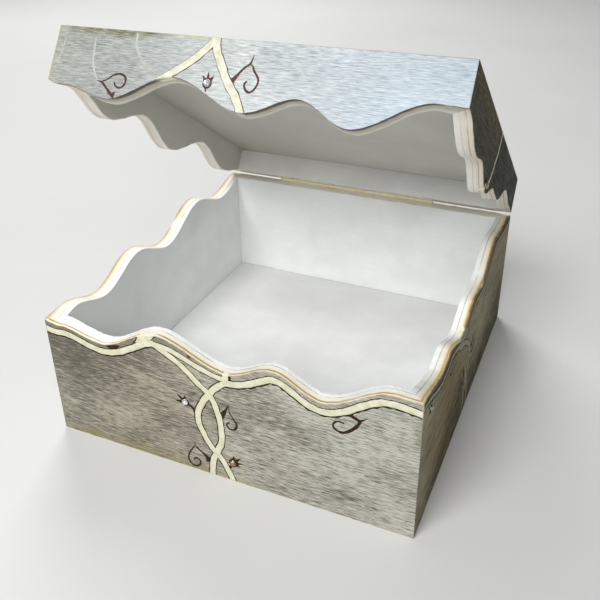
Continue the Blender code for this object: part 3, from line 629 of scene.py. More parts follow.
def panel(node, body, place, length, straight, rim, mats, drawing=None, thick=T,
          mitred=True, mitred_straight=False, round_rim=0.25, ring_extra=(), rim_step=0.8, cuts=(), grid=0.0, burn=BURN, cream=None):
    """One board: its decorated outer face, its edge carried inwards ring by ring, and its inner face.

    straight is the height of its straight edge, rim(s, d) that of the other one.
    mats is (outer, inner, rim edge, other edges) and, where there is one, the strip beside the rim."""
    gap = 0.03
    up = 1.0 if float(np.mean(rim(np.array([length / 2]), 0.0))) > straight else -1.0
    depths = sorted(set([d for d in RINGS if d < thick - 0.12] + [thick - 0.1, thick] + list(ring_extra)))

    def end_inset(d):
        return (np.maximum(arc(0.4, d), d) + gap) if mitred else arc(0.3, d) + arc(0.25, thick - d)

    def straight_at(d):
        if mitred_straight:
            return straight + up * (max(float(arc(0.4, d)), d) + gap)
        return straight + up * (float(arc(0.35, d)) + float(arc(0.2, thick - d)))

    def rim_at(s, d):
        if round_rim is None:
            return rim(s, d)
        inner = 0.5 + 0.14 * wobble(node + "in", s, 7.0)
        fall = arc(round_rim, d) + np.array([float(arc(r, thick - d)) for r in inner])
        rough = 0.05 * wobble(node + "a", s, 11.0) + 0.03 * wobble(node + "b", s * 1.0 + d * 3.1, 4.0)
        paint = (0.10 + 0.07 * wobble(node + "p", s + d, 8.0)) * np.clip((d - 4.6) / 1.2, 0, 1)
        return rim(s, d) - up * fall + up * (rough + paint)

    # the border of the outer face
    e0 = float(end_inset(0.0))
    rim_s = np.linspace(e0, length - e0, max(3, int(round(length / rim_step)) + 1))
    for c in cuts:
        rim_s = rim_s[np.abs(rim_s - c) > 0.25]
    rim_s = np.sort(np.concatenate([rim_s, *[[c - 0.012, c + 0.012] for c in cuts]])) if len(cuts) else rim_s
    low_s = np.linspace(e0, length - e0, int(length / 4) + 1)
    z0 = straight_at(0.0)
    rim_z = rim_at(rim_s, 0.0)
    left = np.linspace(z0, rim_z[0], int(abs(rim_z[0] - z0) / 3) + 2)
    right = np.linspace(z0, rim_z[-1], int(abs(rim_z[-1] - z0) / 3) + 2)
    border = ([(s, z0) for s in low_s[:-1]] + [(length - e0, z) for z in right[:-1]]
              + list(zip(rim_s[::-1], rim_z[::-1]))[:-1] + [(e0, z) for z in left[::-1]][:-1])
    if up < 0:
        border = border[::-1]
    border = [tuple(map(float, p)) for p in border]

    drawing = drawing or Drawing(0)
    points = [Vector(p) for p in border] + [Vector(p) for p in drawing.points]
    faces = [list(range(len(border)))] + [[k + len(border) for k in c] for c in drawing.cells]
    kinds = ["border"] + drawing.kinds
    if grid:
        zs = sorted((z0, float(rim_z.mean())))
        for gs in np.arange(grid / 2, length, grid):
            for gz in np.arange(zs[0] + grid / 2, zs[1] - grid / 4, grid):
                points.append(Vector((gs, gz)))
    vs, _, fs, _, _, face_ids = delaunay_2d_cdt(points, [], faces, 0, 1e-4)
    outer, classes = [], []
    for f, ids in zip(fs, face_ids):
        if 0 not in ids:
            continue
        middle = (sum(vs[k][0] for k in f) / len(f), sum(vs[k][1] for k in f) / len(f))
        found = {kinds[k] for k in ids if k and holds([drawing.points[i] for i in drawing.cells[k - 1]], middle)}
        outer.append(list(f))
        classes.append(next((k for k in ("cream", "burn", "strip") if k in found), "plain"))
    # the loop round the kept faces
    count = {}
    for f in outer:
        for a, b in zip(f, f[1:] + f[:1]):
            count[(a, b)] = count.get((a, b), 0) + 1
    nxt = {a: b for (a, b) in count if (b, a) not in count}
    start = min(nxt)
    loop, v = [start], nxt[start]
    while v != start:
        loop.append(v)
        v = nxt[v]
    if len(loop) != len(nxt):
        raise RuntimeError(f"{node}: the border is not one loop, {len(loop)} of {len(nxt)}")
    vs = np.array([tuple(v) for v in vs], float)

    # relief: char sinks, paint stands
    touch = {}
    for f, c in zip(outer, classes):
        for v in f:
            touch.setdefault(v, set()).add(c)
    on_loop = set(loop)
    used = sorted(touch)
    index = {v: i for i, v in enumerate(used)}
    relief = np.array([0.0 if v in on_loop else -0.26 if touch[v] == {"burn"} else 0.10 if touch[v] == {"cream"} else 0.0
                       for v in used])
    verts = [place(vs[used, 0], vs[used, 1], -relief)]
    at = [np.stack([vs[used, 0], vs[used, 1], -relief], 1)]
    wraps = [np.zeros(len(used))]

    # each point of the loop: how far along, and how far from the straight edge to the rim
    ls, lz = vs[loop, 0], vs[loop, 1]
    u = (ls - e0) / (length - 2 * e0)
    rz = rim_at(ls, 0.0)
    v = np.clip((lz - z0) / (rz - z0), 0, 1.02)
    on_rim = np.abs(lz - np.interp(ls, rim_s, rim_z)) < 0.02
    v = np.where(on_rim, 1.0, v)
    wrap = np.array([1.0 if (r and "cream" in touch[k]) else 0.0 for r, k in zip(on_rim, loop)])
    wide = np.convolve(np.concatenate([wrap[-2:], wrap, wrap[:2]]), [.15, .2, .3, .2, .15], "valid")
    total = sum(len(x) for x in verts)
    prev = [index[k] for k in loop]
    tris, mat_ids = [], []
    for f, c in zip(outer, classes):
        tris.append([index[k] for k in f])
        mat_ids.append({"plain": 0, "cream": 1, "burn": 2, "strip": 6}[c])
    n = len(loop)
    seg_rim = [on_rim[k] and on_rim[(k + 1) % n] for k in range(n)]
    faces_out = list(tris)
    for d in depths[1:]:
        e = float(end_inset(d))
        s = e + u * (length - 2 * e)
        zs = straight_at(d)
        z = zs + v * (rim_at(s, d) - zs)
        verts.append(place(s, z, np.full(n, d)))
        at.append(np.stack([s, z, np.full(n, d)], 1))
        wraps.append(wide)
        now = list(range(total, total + n))
        total += n
        for k in range(n):
            k2 = (k + 1) % n
            faces_out.append([prev[k2], prev[k], now[k], now[k2]])
            if seg_rim[k]:
                mat_ids.append(4)
            else:
                mat_ids.append(0 if d <= 0.3 else 5)
        prev = now
    # the inner face
    ring = [Vector((float(a), float(b))) for a, b in zip(s, z)]
    area = sum(ring[k][0] * ring[(k + 1) % n][1] - ring[(k + 1) % n][0] * ring[k][1] for k in range(n))
    order = list(range(n)) if area > 0 else list(range(n))[::-1]
    vs2, _, fs2, ov2, _, ids2 = delaunay_2d_cdt(ring, [], [order], 0, 1e-5)
    back = {}
    for i, o in enumerate(ov2):
        if o:
            back[i] = prev[o[0]]
    for f, ids in zip(fs2, ids2):
        if 0 in ids and all(k in back for k in f):
            faces_out.append([back[k] for k in f][::-1])
            mat_ids.append(3)

    verts = np.concatenate(verts)
    if body == "lid":
        verts = opened(verts)
    outer_mat, inner_mat, rim_mat, other_mat = mats[:4]
    strip_mat = mats[4] if len(mats) > 4 else outer_mat
    return piece(node, verts, faces_out, mat_ids, [outer_mat, cream or CREAM, burn, inner_mat, rim_mat, other_mat, strip_mat], body,
                 at=np.concatenate(at), wrap=np.concatenate(wraps))


def piece(node, verts, faces, mat_ids, mats, body, at=None, wrap=None, smooth_angle=38, replaces=None):
    mesh = bpy.data.meshes.new(node + "_look")
    mesh.from_pydata([tuple(p) for p in np.asarray(verts) / 1000.0], [], faces)
    for m in mats:
        mesh.materials.append(m)
    mesh.polygons.foreach_set("material_index", mat_ids)
    if at is not None:
        layer = mesh.attributes.new("at", "FLOAT_VECTOR", "POINT")
        layer.data.foreach_set("vector", np.asarray(at, np.float32).ravel())
    if wrap is not None:
        layer = mesh.attributes.new("wrap", "FLOAT", "POINT")
        layer.data.foreach_set("value", np.asarray(wrap, np.float32))
    bm = bmesh.new()
    bm.from_mesh(mesh)
    bmesh.ops.dissolve_degenerate(bm, edges=bm.edges, dist=1e-7)
    bmesh.ops.recalc_face_normals(bm, faces=bm.faces)
    bm.to_mesh(mesh)
    bm.free()
    mesh.update()
    obj = bpy.data.objects.new(node + "_look", mesh)
    bpy.context.scene.collection.objects.link(obj)
    mesh.shade_smooth()
    mesh.set_sharp_from_angle(angle=math.radians(smooth_angle))
    weighted = obj.modifiers.new("flat faces stay flat", "WEIGHTED_NORMAL")
    weighted.weight = 60
    weighted.keep_sharp = True
    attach(obj, body)
    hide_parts(*(replaces or [node]))
    return obj


# ---------------------------------------------------------------- rims, blended where two walls meet
LINES = {"front": (FRONT, W), "back": (BACK, W), "left": (LEFT, D), "right": (RIGHT, D)}
NEIGHBOURS = {  # (wall at the start of s, which end of it), (wall at the far end, which end of it)
    "front": (("left", 0), ("right", 0)), "back": (("left", 1), ("right", 1)),
    "left": (("front", 0), ("back", 0)), "right": (("front", 1), ("back", 1)),
}


def rim_of(side, lower):
    own, length = LINES[side]

    def height(s, d):
        s = np.asarray(s, float)
        z = line(own, s)
        d = float(d)
        for k, (other, end) in enumerate(NEIGHBOURS[side]):
            there, other_length = LINES[other]
            mine = float(line(own, d if k == 0 else length - d))
            theirs = float(line(there, d if end == 0 else other_length - d))
            far = (s if k == 0 else length - s) - d
            fade = np.clip(1 - far / 12.0, 0, 1)
            z = z + (theirs - mine) / 2 * fade * fade * (3 - 2 * fade)
        return z - HALF_KERF if lower else z + HALF_KERF
    return height


def notched(base_height, lower):
    """The back edge with the shallow bed that the hinge leaf lies in and the hollow for its knuckles. Beside
    the hinge, between the side walls, the two back edges are left almost touching."""
    x0, x1 = HINGE_X[0] + 100 - 0.15, HINGE_X[1] + 100 + 0.15

    def height(s, d):
        z = np.array(base_height(s, d), float)
        near_end = np.clip((np.minimum(s, W - np.asarray(s, float)) - 4.0) / 5.0, 0, 1)
        rise = 0.45 - 0.23 * min(max((d - 3.0) / 1.4, 0.0), 1.0)
        z = z + (rise if lower else -rise) * near_end * near_end * (3 - 2 * near_end)
        inside = (np.asarray(s) > x0) & (np.asarray(s) < x1)
        if d < 5.65:
            bed = 75.55 if lower else 77.65
            if d < 0.9:
                reach = math.sqrt(1.9**2 - (1 + d) ** 2)
                bed = min(bed, HINGE_Z - reach) if lower else max(bed, HINGE_Z + reach)
            z = np.where(inside, bed, z)
        return z
    return height


def moved(points, ds, dz, flip=False):
    """The same points shifted, or first mirrored left to right and then shifted."""
    return [((-p[0] if flip else p[0]) + ds, p[1] + dz, *p[2:]) for p in points]


# a burnt leaf with its curl, drawn round the foot of the leaf
LEAF = [(0.0, 0.0, 2.2), (1.6, 2.0, 1.3), (3.7, 5.7, .5), (5.1, 9.0, .06)]
LEAF_CURL = [(4.7, 7.7, .15), (5.4, 3.4, .3), (7.4, 0.1, .42), (8.7, -2.8, .6), (8.0, -5.2, .62), (6.0, -6.5, .55),
             (4.0, -5.9, .5), (3.2, -3.9, .42), (4.9, -2.3, .5)]


def leaf(g, s, z, flip=False):
    g.stroke(moved(LEAF, s, z, flip))
    g.stroke(moved(LEAF_CURL, s, z, flip))


# ================================================================ base, front
g = Drawing(11)
g.rim_strip([(-3, 5.0), (14, 4.0), (33, 4.3), (50, 4.9), (60, 4.6)], FRONT)
g.rim_strip([(63, 5.0), (74, 5.6), (84, 5.2), (94, 4.0), (104, 3.4)], FRONT)
g.rim_strip([(104, 4.5), (118, 5.4), (138, 3.5), (157, 4.5), (174, 3.7), (190, 4.6), (203, 5.6)], FRONT)
g.band(along_rim([(-3, 5.0), (14, 4.0), (33, 4.3), (50, 4.9), (66, 4.8)], FRONT), 1.65, 0.55, 0.85, ready=True)
g.band(along_rim([(104, 4.5), (118, 5.4), (138, 3.5), (157, 4.5), (174, 3.7), (190, 4.6), (203, 5.6)], FRONT), 1.7, 0.5, 0.85, ready=True)
g.band([(60, 72.6), (66, 73.1), (70.5, 70.9), (80.7, 65), (90.5, 56), (96, 51.3), (99.6, 42), (101, 32), (100.4, 22.5),
        (97.2, 15.3), (94.7, 8), (93.8, -2)], 1.6, 0.5, 0.6)
g.band([(60, 72.8), (67, 73.2), (75, 72.2), (82.5, 69.6), (90, 66.6), (95, 64.9), (98, 64), (105, 62.8)], 1.4, 0.5, 0.5)
g.band([(105.4, 70), (105.4, 66), (105.2, 62.6)], 1.5, 0.5, 0.45)
g.stroke([(107.8, 66.6, .35), (107.9, 64.9, .5), (107.8, 62.9, .4)])
g.band([(106, 61.8), (100, 57.1), (95.4, 51.4), (90.4, 43.5), (88.2, 36), (89.2, 29.5), (94.4, 18.8), (100, 12.4), (104.6, 3.2),
        (106.4, -2)], 1.6, 0.55, 0.6)
g.blot([(56.0, 71.4), (57.4, 73.9), (58.0, 79.4), (68.6, 79.6), (66.4, 76.4), (65.2, 75.1), (62.4, 74.0), (60, 72.8)], "cream")
g.stroke([(54.4, 70.6, .25), (56.2, 72.3, .4), (57.5, 74.6, .45), (57.9, 77.6, .3)])
g.stroke([(69.6, 79.0, .25), (66.6, 76.6, .35), (64.4, 75.0, .35), (62.2, 74.1, .2)])
g.blot([(37.4, 65.3), (41.2, 65.9), (45.6, 67.0), (46.2, 66.3), (44.2, 64.6), (40, 63.2), (38.0, 64.0)])
g.blot([(84.7, 72.8), (86.4, 73.0), (87.2, 70.6), (85.7, 70.4)])
# bud and clear stone left of the strands
g.bud(81.5, 42.7, 2.15, [(77.0, 46.9), (75.7, 42.2), (81.6, 46.9)], [(83, 42.2, .9), (84.7, 41.2, .6), (86.2, 39.9, 1.0), (87.7, 38.2, 1.7)])
# leaf with a curl, right of the strands
leaf(g, 101.2, 40.2)
# leaf with a curl, low on the left
g.stroke([(92.9, 8.3, 2.2), (91.1, 10.8, 1.1), (88.7, 12.8, .6), (85.4, 15.7, .38), (84.4, 18.2, .06)])
g.stroke([(84.8, 16.6, .15), (83.7, 14.4, .32), (81.4, 10.6, .42), (80.2, 7, .5), (81, 3.6, .55), (83.4, 2.1, .58), (86, 3, .55),
          (87.2, 5.4, .5), (86.4, 7.6, .45), (84.4, 7.6, .42), (83.4, 6, .5)])
# bud and amber stone, low on the right
g.bud(106.3, 12.0, 2.15, [(107.2, 17.0), (111.3, 16.9), (112.3, 13.2), (110.5, 10.6)], [(105.8, 10.6, .9), (104.9, 9.2, .75), (104.1, 8.0, 1.0), (103.3, 7.0, .5)])
# curl that hangs from the band
g.stroke([(167.6, 62.6, 1.2), (169.8, 61.4, .95), (172.3, 60.7, .7), (175.8, 63.1, .06)])
g.stroke([(172.8, 61.2, .3), (172.1, 59.6, .7), (170.9, 57.2, .85), (168, 53.8, .85), (164.6, 51.5, .75), (161.6, 51.6, .6),
          (159.7, 53.3, .52), (160, 55.6, .5), (162.2, 57.1, .48), (164.9, 56.7, .4)])

STAIN_FRONT = stain("stain_base_front", W, 2.1, SILVER_DARK, SILVER_LIGHT, slope=0.62, rub=0.7, rub_to=110.0, cloudy=2.0, hatch=3.5, ticks=1.0,
                    worn=[("s", 0, 1, 4.0, 0.45, (-10.0, 26.0)), ("z", 0, 1, 8.0, 0.6, (-10.0, 116.0)), ("z", 0, 1, 2.0, 0.4, (110.0, 215.0)),
                          ("s", W, -1, 5.0, 0.7, (54.0, 70.0), (0.12, 0.115, 0.062), (0.30, 0.29, 0.185))],
                    cast=[(0.06, (0.77, 0.765, 0.70)), (0.3, (0.80, 0.755, 0.685)), (0.55, (0.95, 0.94, 0.91)), (0.85, (0.91, 0.93, 0.94))])
STRIP_FRONT = strip_stain("strip_base_front", W, (0.215, 0.195, 0.145), (0.42, 0.41, 0.355), 3.3)
panel("base_front", "base", upright("front"), W, 0.0, rim_of("front", True), (STAIN_FRONT, WHITE_IN, EDGE_FRONT, RAW, STRIP_FRONT), g)

# ================================================================ base, right
g = Drawing(61)
right_band = [(-3, 3.4), (15, 3.3), (40, 4.3), (60, 3.6), (72, 1.9), (80, 0.9), (92, 1.9), (120, 2.8), (150, 3.2), (180, 3.0), (209, 3.6)]
g.rim_strip(right_band, RIGHT)
g.band(along_rim(right_band, RIGHT), 1.15, 0.6, 0.8, ready=True)
g.band([(70, 61.5), (74.3, 59.4), (83.7, 56.1), (95.6, 48), (102.1, 38), (101.5, 28.7), (97.1, 23.3), (96.1, 14.7), (96.6, 4.9), (96.6, -2)],
       1.5, 0.5, 0.6)
g.band([(118, 64.5), (110, 57), (101, 47.5), (94.5, 38), (95.0, 29), (100.5, 20.5), (104.6, 11), (105.4, 3), (105.4, -2)], 1.5, 0.5, 0.6)
g.stroke([(50.4, 59.9, .12), (51.4, 58.4, .5), (52.3, 57.4, .7), (53.8, 56.6, .4), (55.6, 56.6, .08)])
g.bud(13.1, 66.9, 1.75, [(9.6, 69.6), (9.4, 65.4), (13.4, 63.0), (16.8, 65.0)], [(14.0, 67.8, .6), (15.4, 69.0, .4), (17.4, 69.8, .3)])
leaf(g, 104.6, 40.4)
leaf(g, 92.2, 30.0, flip=True)
# painted shade: the right board's silver-grey stain made much darker, and darker still towards the bottom through its z
# rise
STAIN_RIGHT_SHADED = stain("stain_base_right_painted_shade", D, 6.7, (0.066, 0.058, 0.033), (0.370, 0.340, 0.235), slope=-0.20, rub=0.2, rub_to=80.0,
                    hatch=1.4, streaks=2.6, ticks=0.3, rises=[("z", 2.0, 52.0, 0.5)], shine=0.06, rough=0.6,
                    worn=[("s", D, -1, 5.0, 0.4)],
                    cast=[(0.05, (1.04, 1.01, 0.95)), (0.26, (0.72, 0.60, 0.48)), (0.50, (1.04, 1.02, 0.93)), (0.90, (1.0, 0.98, 0.88))])
# painted shade: the strip beside the rim, made darker on the right board
STRIP_RIGHT_SHADED = strip_stain("strip_base_right_painted_shade", D, (0.085, 0.070, 0.040), (0.060, 0.048, 0.028), 4.9, 0.06)
panel("base_right", "base", upright("right"), D, 0.0, rim_of("right", True), (STAIN_RIGHT_SHADED, WHITE_IN, EDGE_RIGHT, RAW, STRIP_RIGHT_SHADED), g, cream=CREAM_RIGHT_SHADED)

# ================================================================ base, left
g = Drawing(101)
left_band = [(-3, 4.6), (30, 4.2), (70, 5.0), (104, 4.0), (142, 4.8), (175, 4.1), (209, 4.8)]
g.rim_strip(left_band, LEFT)
g.band(along_rim(left_band, LEFT), 1.7, 0.5, 0.65, ready=True)
g.band([(84, 69), (90, 64.5), (97.5, 57), (104, 50), (109.6, 42), (111.4, 33), (109.4, 24.5), (104, 16), (99.6, 8), (98.4, -2)], 1.6, 0.5, 0.6)
g.band([(124, 70.5), (118, 64.5), (110.5, 57), (104, 50), (98.4, 42), (96.6, 33), (98.6, 24.5), (104, 16), (108.4, 8), (109.6, -2)], 1.6, 0.5, 0.6)
leaf(g, 111.4, 38.0)
leaf(g, 96.6, 30.0, flip=True)
g.stroke(moved([(0, 0, 1.2), (2.2, -1.2, .95), (4.7, -1.9, .7), (8.2, 0.5, .06)], 150, 73.2))
g.stroke(moved([(5.2, -1.4, .3), (4.5, -3.0, .7), (3.3, -5.4, .85), (0.4, -8.8, .85), (-3.0, -11.1, .75), (-6.0, -11.0, .6),
                (-7.9, -9.3, .52), (-7.6, -7.0, .5), (-5.4, -5.5, .48), (-2.7, -5.9, .4)], 150, 73.2))
STAIN_LEFT = stain("stain_base_left", D, 12.9, SILVER_DARK, SILVER_LIGHT, slope=-0.25, rub=0.45, rub_from=40.0, rub_to=180.0, turn=-0.22,
                   worn=[("s", 0, 1, 5.0, 0.5), ("z", 0, 1, 5.0, 0.6), ("s", D, -1, 5.0, 0.4)])
STRIP_LEFT = strip_stain("strip_base_left", D, (0.15, 0.125, 0.10), (0.30, 0.29, 0.275), 9.3)
panel("base_left", "base", upright("left"), D, 0.0, rim_of("left", True), (STAIN_LEFT, WHITE_IN, EDGE_LEFT, RAW, STRIP_LEFT), g)

# ================================================================ base, back
HINGE_CUTS = (HINGE_X[0] + 100 - 0.15, HINGE_X[1] + 100 + 0.15)
g = Drawing(151)
back_band = [(-3, 5.2), (50, 5.0), (100, 5.6), (150, 5.0), (203, 5.2)]
g.rim_strip(back_band, BACK)
g.band(along_rim(back_band, BACK), 1.7, 0.5, 0.65, ready=True)
g.band([(82, 71), (88, 67), (95, 58.5), (100, 51), (105.2, 43), (107, 34), (105, 25.5), (100, 17), (95.4, 8.5), (94.2, -2)], 1.6, 0.5, 0.6)
g.band([(118, 71), (112, 67), (105, 58.5), (100, 51), (94.8, 43), (93, 34), (95, 25.5), (100, 17), (104.6, 8.5), (105.8, -2)], 1.6, 0.5, 0.6)
leaf(g, 107.2, 38.5)
leaf(g, 92.8, 31.0, flip=True)
STAIN_BACK = stain("stain_base_back", W, 17.3, SILVER_DARK, SILVER_LIGHT, slope=0.2, rub=0.35, rub_from=60.0, rub_to=190.0,
                   worn=[("s", 0, 1, 5.0, 0.5), ("z", 0, 1, 5.0, 0.6), ("s", W, -1, 5.0, 0.5)])
STRIP_BACK = strip_stain("strip_base_back", W, (0.16, 0.14, 0.11), (0.27, 0.26, 0.24), 13.9)
panel("base_back", "base", upright("back"), W, 0.0, notched(rim_of("back", True), True), (STAIN_BACK, WHITE_IN, EDGE_BACK, RAW, STRIP_BACK), g,
      cuts=HINGE_CUTS, ring_extra=(0.9, 5.6, 5.7))

# ================================================================ base, bottom
HALF_W, HALF_D = W / 2 - T - 0.2, D / 2 - T - 0.2


def floor_place(s, t, d):
    return np.stack([s - HALF_W, t - HALF_D, 6.8 - d], -1)


panel("base_bottom", "base", floor_place, 2 * HALF_W, 0.0,
      lambda s, d: 2 * HALF_D - np.full(np.shape(s), float(arc(0.35, d)) + float(arc(0.2, 6.8 - d))),
      (WHITE_FLOOR_SHADED_REAR, UNDER, RAW, RAW), thick=6.8, mitred=False, round_rim=None, rim_step=4.0)

# ================================================================ lid, front
g = Drawing(201)
for thin in ([(4.9, 94.0, .3), (4.5, 88.0, .5), (3.4, 80.9, .25)],
             [(22.1, 94.5, .3), (22.5, 90.0, .5), (23.2, 84.5, .5), (25.2, 79.0, .45), (28.4, 74.3, .2)],
             [(44.3, 98.4, .35), (45.3, 92.4, .6), (51.5, 84.5, .6), (60.2, 79.9, .25)],
             [(113.0, 93.5, .2), (124.0, 89.2, .35), (135.4, 84.8, .45), (144.9, 81.2, .2)]):
    g.streak(thin)
g.band([(60, 77), (64.5, 79.8), (70, 83.9), (75.5, 88), (80, 92.5), (83.5, 96.5), (86, 101)], 1.7, 0.15, 0.42)
g.band([(85, 101), (86.5, 94.5), (88.8, 90), (91.5, 85.6), (94.5, 80.8), (98, 76.6), (101, 73), (103.3, 69), (105.4, 64)], 1.8, 0.42, 0.2)
g.bud(85.6, 78.3, 2.0, [(85.2, 83.7), (82.5, 81.8), (88.3, 82.2)], [(85.3, 76.5, .6), (85.5, 75.4, .45), (85.7, 74.2, .06)])
g.stroke([(39.3, 68.3, 1.6), (37.3, 68.6, .9), (34.5, 70.9, .6), (31.1, 73.6, .5), (27.8, 74.4, .06)])
g.stroke([(30, 73.8, .4), (33.3, 75.1, .4), (36.6, 77.6, .45), (39.1, 78.4, .55), (41.5, 78.2, .6), (43.4, 76.7, .6), (43.6, 74.4, .55),
          (42.3, 72.4, .5), (40.4, 72, .5), (38.6, 72.8, .45), (37.8, 74.5, .4)])
g.stroke([(97.4, 80.7, 1.3), (98.8, 82.6, .85), (100.2, 84.8, .6), (102, 87, .5), (104.2, 89, .5), (104.8, 90.8, .35), (105.2, 93.2, .06)])
g.stroke([(104.3, 88.9, .15), (105.6, 88, .35), (106.5, 86.3, .5), (107.8, 84.8, .5), (109.2, 83, .5), (109.7, 81.2, .5), (109, 78.8, .5),
          (107.9, 77.2, .5), (106.4, 76.4, .5), (104.8, 77.1, .55), (103.7, 78.7, .5), (103.5, 80.2, .45), (104.6, 81.2, .4)])
# painted sheen: the cast lightens the lid front's middle as a painted highlight and cools its right end as a painted
# blue reflection, the rise darkens its left end, and the blue sheen tint paints a cool reflection in the gloss
STAIN_LID_FRONT_SHEEN = stain("stain_lid_front_painted_sheen", W, 21.7, (0.135, 0.137, 0.127), (0.470, 0.484, 0.476), slope=-0.16, cloudy=0.6, rub=0.14, rub_to=150.0,
                        turn=0.5, rises=[("s", 10.0, 98.0, 0.12)], hatch=1.9, streaks=0.7, ticks=0.34, fineness=1.1, rough=0.33, shine=0.62, sheen=(0.60, 0.83, 1.0),
                        worn=[("z", H, -1, 2.2, 0.75, (-10.0, 84.0)), ("s", 0, 1, 3.0, 0.6),
                              ("z", H, -1, 4.6, 0.9, (8.0, 58.0), (0.085, 0.080, 0.040), (0.26, 0.245, 0.150))],
                        cast=[(0.08, (0.97, 0.96, 0.90)), (0.30, (1.03, 1.03, 1.02)), (0.5, (1.38, 1.36, 1.33)), (0.82, (1.00, 1.00, 1.05))])
PALE_STREAK = stain("pale_streak_lid", W, 23.1, (0.25, 0.26, 0.245), (0.51, 0.525, 0.51), hatch=1.8, rough=0.33, shine=0.5, streaks=0.8, ticks=0.0)
panel("lid_front", "lid", upright("front"), W, H, rim_of("front", False), (STAIN_LID_FRONT_SHEEN, WHITE_LID, EDGE_LID_FRONT_SHADED, RAW, PALE_STREAK), g,
      mitred_straight=True, burn=BURN_LID, cream=CREAM_LID)

# ================================================================ lid, right
g = Drawing(251)
g.band([(99.9, 101), (99.5, 95), (98.5, 91.8), (97.5, 87), (94.2, 82.4), (92.3, 78.3), (88.4, 72.9), (84.2, 68.9), (77, 65.6), (74, 63.5)], 1.1, 0.4, 0.4)
g.bud(77, 66.6, 2.1, [(72.6, 68.4), (74.2, 71.4), (78.4, 71.6)], [(77.6, 65.4, .7), (79.2, 64.8, .4), (81, 65.2, .3)])
leaf(g, 97.5, 80.5)
# painted shade: the lid's right board stain made almost black; its worn patches keep lighter colours of their own
STAIN_LID_RIGHT_SHADED = stain("stain_lid_right_painted_shade", D, 26.9, (0.011, 0.0115, 0.008), (0.110, 0.107, 0.078), slope=-0.2, rub=0.25, hatch=2.0, streaks=3.2, ticks=0.3, shine=0.06, rough=0.6,
                        worn=[("z", H, -1, 15.0, 0.9, (-10.0, 92.0), (0.050, 0.045, 0.021), (0.185, 0.165, 0.088)),
                              ("s", 0, 1, 30.0, 0.7, (76.0, 105.0), (0.045, 0.041, 0.020), (0.150, 0.136, 0.074)),
                              ("z", H, -1, 2.4, 0.7, (80.0, 220.0), (0.10, 0.095, 0.060), (0.24, 0.225, 0.150)), ("s", 0, 1, 2.5, 0.6), ("s", D, -1, 3.0, 0.4)])
panel("lid_right", "lid", upright("right"), D, H, rim_of("right", False), (STAIN_LID_RIGHT_SHADED, WHITE_LID, EDGE_LID_SIDE, RAW), g, mitred_straight=True)

# ================================================================ lid, left
g = Drawing(301)
g.band([(104, 101), (104.2, 95.5), (105.4, 91.5), (107.6, 87), (110.5, 83), (114.8, 79.4), (119.5, 76.4), (124, 74.5), (128, 70)], 1.5, 0.45, 0.45)
leaf(g, 106.4, 83.0, flip=True)
STAIN_LID_LEFT = stain("stain_lid_left", D, 31.1, SILVER_DARK, SILVER_LIGHT, slope=-0.2, rub=0.4, rub_from=30.0, rub_to=190.0, turn=-0.3,
                       worn=[("z", H, -1, 2.6, 0.6), ("s", 0, 1, 3.5, 0.6), ("s", D, -1, 4.0, 0.4)])
panel("lid_left", "lid", upright("left"), D, H, rim_of("left", False), (STAIN_LID_LEFT, WHITE_LID_LEFT_SHADED, EDGE_LID_SIDE, RAW), g, mitred_straight=True)

# ================================================================ lid, back
g = Drawing(351)
g.band([(100, 101), (98.8, 95.5), (96.0, 90.5), (92.6, 85.5), (90.2, 80.5), (89.4, 75)], 1.5, 0.45, 0.45)
g.band([(100, 101), (101.2, 95.5), (104.0, 90.5), (107.4, 85.5), (109.8, 80.5), (110.6, 75)], 1.5, 0.45, 0.45)
STAIN_LID_BACK = stain("stain_lid_back", W, 36.3, SILVER_DARK, SILVER_LIGHT, slope=0.2, rub=0.3, rub_from=40.0, rub_to=180.0,
                       worn=[("z", H, -1, 2.6, 0.6), ("s", 0, 1, 3.5, 0.6), ("s", W, -1, 3.5, 0.6)])
panel("lid_back", "lid", upright("back"), W, H, notched(rim_of("back", False), False), (STAIN_LID_BACK, WHITE_LID_BACK_LIT, EDGE_LID_SIDE, RAW), g,
      mitred_straight=True, cuts=HINGE_CUTS, ring_extra=(0.9, 5.6, 5.7))

# ================================================================ lid, top
g = Drawing(401)
g.band([(85, -2), (83.2, 12), (86, 30), (96, 50), (113, 68), (135, 81), (160, 90), (182, 96), (202, 100)], 1.7, 0.5, 0.6)
g.band([(85, -2), (90.5, 10), (93, 24), (89, 42), (76, 60), (58, 74), (38, 87), (18, 97), (-2, 104)], 1.7, 0.5, 0.6)
g.band([(88, 43), (86.2, 60), (92.5, 78), (103.5, 94), (110.5, 112), (109.5, 132), (102.5, 150), (97.6, 168), (97.8, 188), (100, 208)], 1.6, 0.5, 0.6)
g.band([(104.5, 59.5), (106.8, 76), (101.5, 92), (94.0, 108), (91.6, 126), (96.4, 143), (103.2, 158), (106.6, 174), (104.6, 192), (100, 208)], 1.6, 0.5, 0.6)
leaf(g, 111.4, 116.0)
leaf(g, 91.0, 130.0, flip=True)
leaf(g, 139.0, 83.6)
leaf(g, 55.5, 77.0, flip=True)
g.bud(75.6, 80.2, 2.0, [(71.4, 84.2), (70.4, 79.6), (75.6, 84.9)], [(77, 79.4, .8), (79.4, 78.0, .45), (82.4, 76.2, .5)])
g.bud(124.6, 60.4, 2.0, [(128.8, 56.8), (129.6, 61.0), (124.8, 55.8)], [(123.4, 61.6, .8), (121.2, 63.6, .45), (118.6, 66.4, .5)])
STAIN_TOP = stain("stain_lid_top", W, 41.9, (0.150, 0.150, 0.132), (0.520, 0.525, 0.490), slope=0.15, rub=0.5, rub_from=10.0, rub_to=190.0, turn=0.35,
                  worn=[("z", 0, 1, 3.0, 0.6), ("s", 0, 1, 3.5, 0.6), ("z", D, -1, 3.5, 0.6), ("s", W, -1, 3.0, 0.6)])
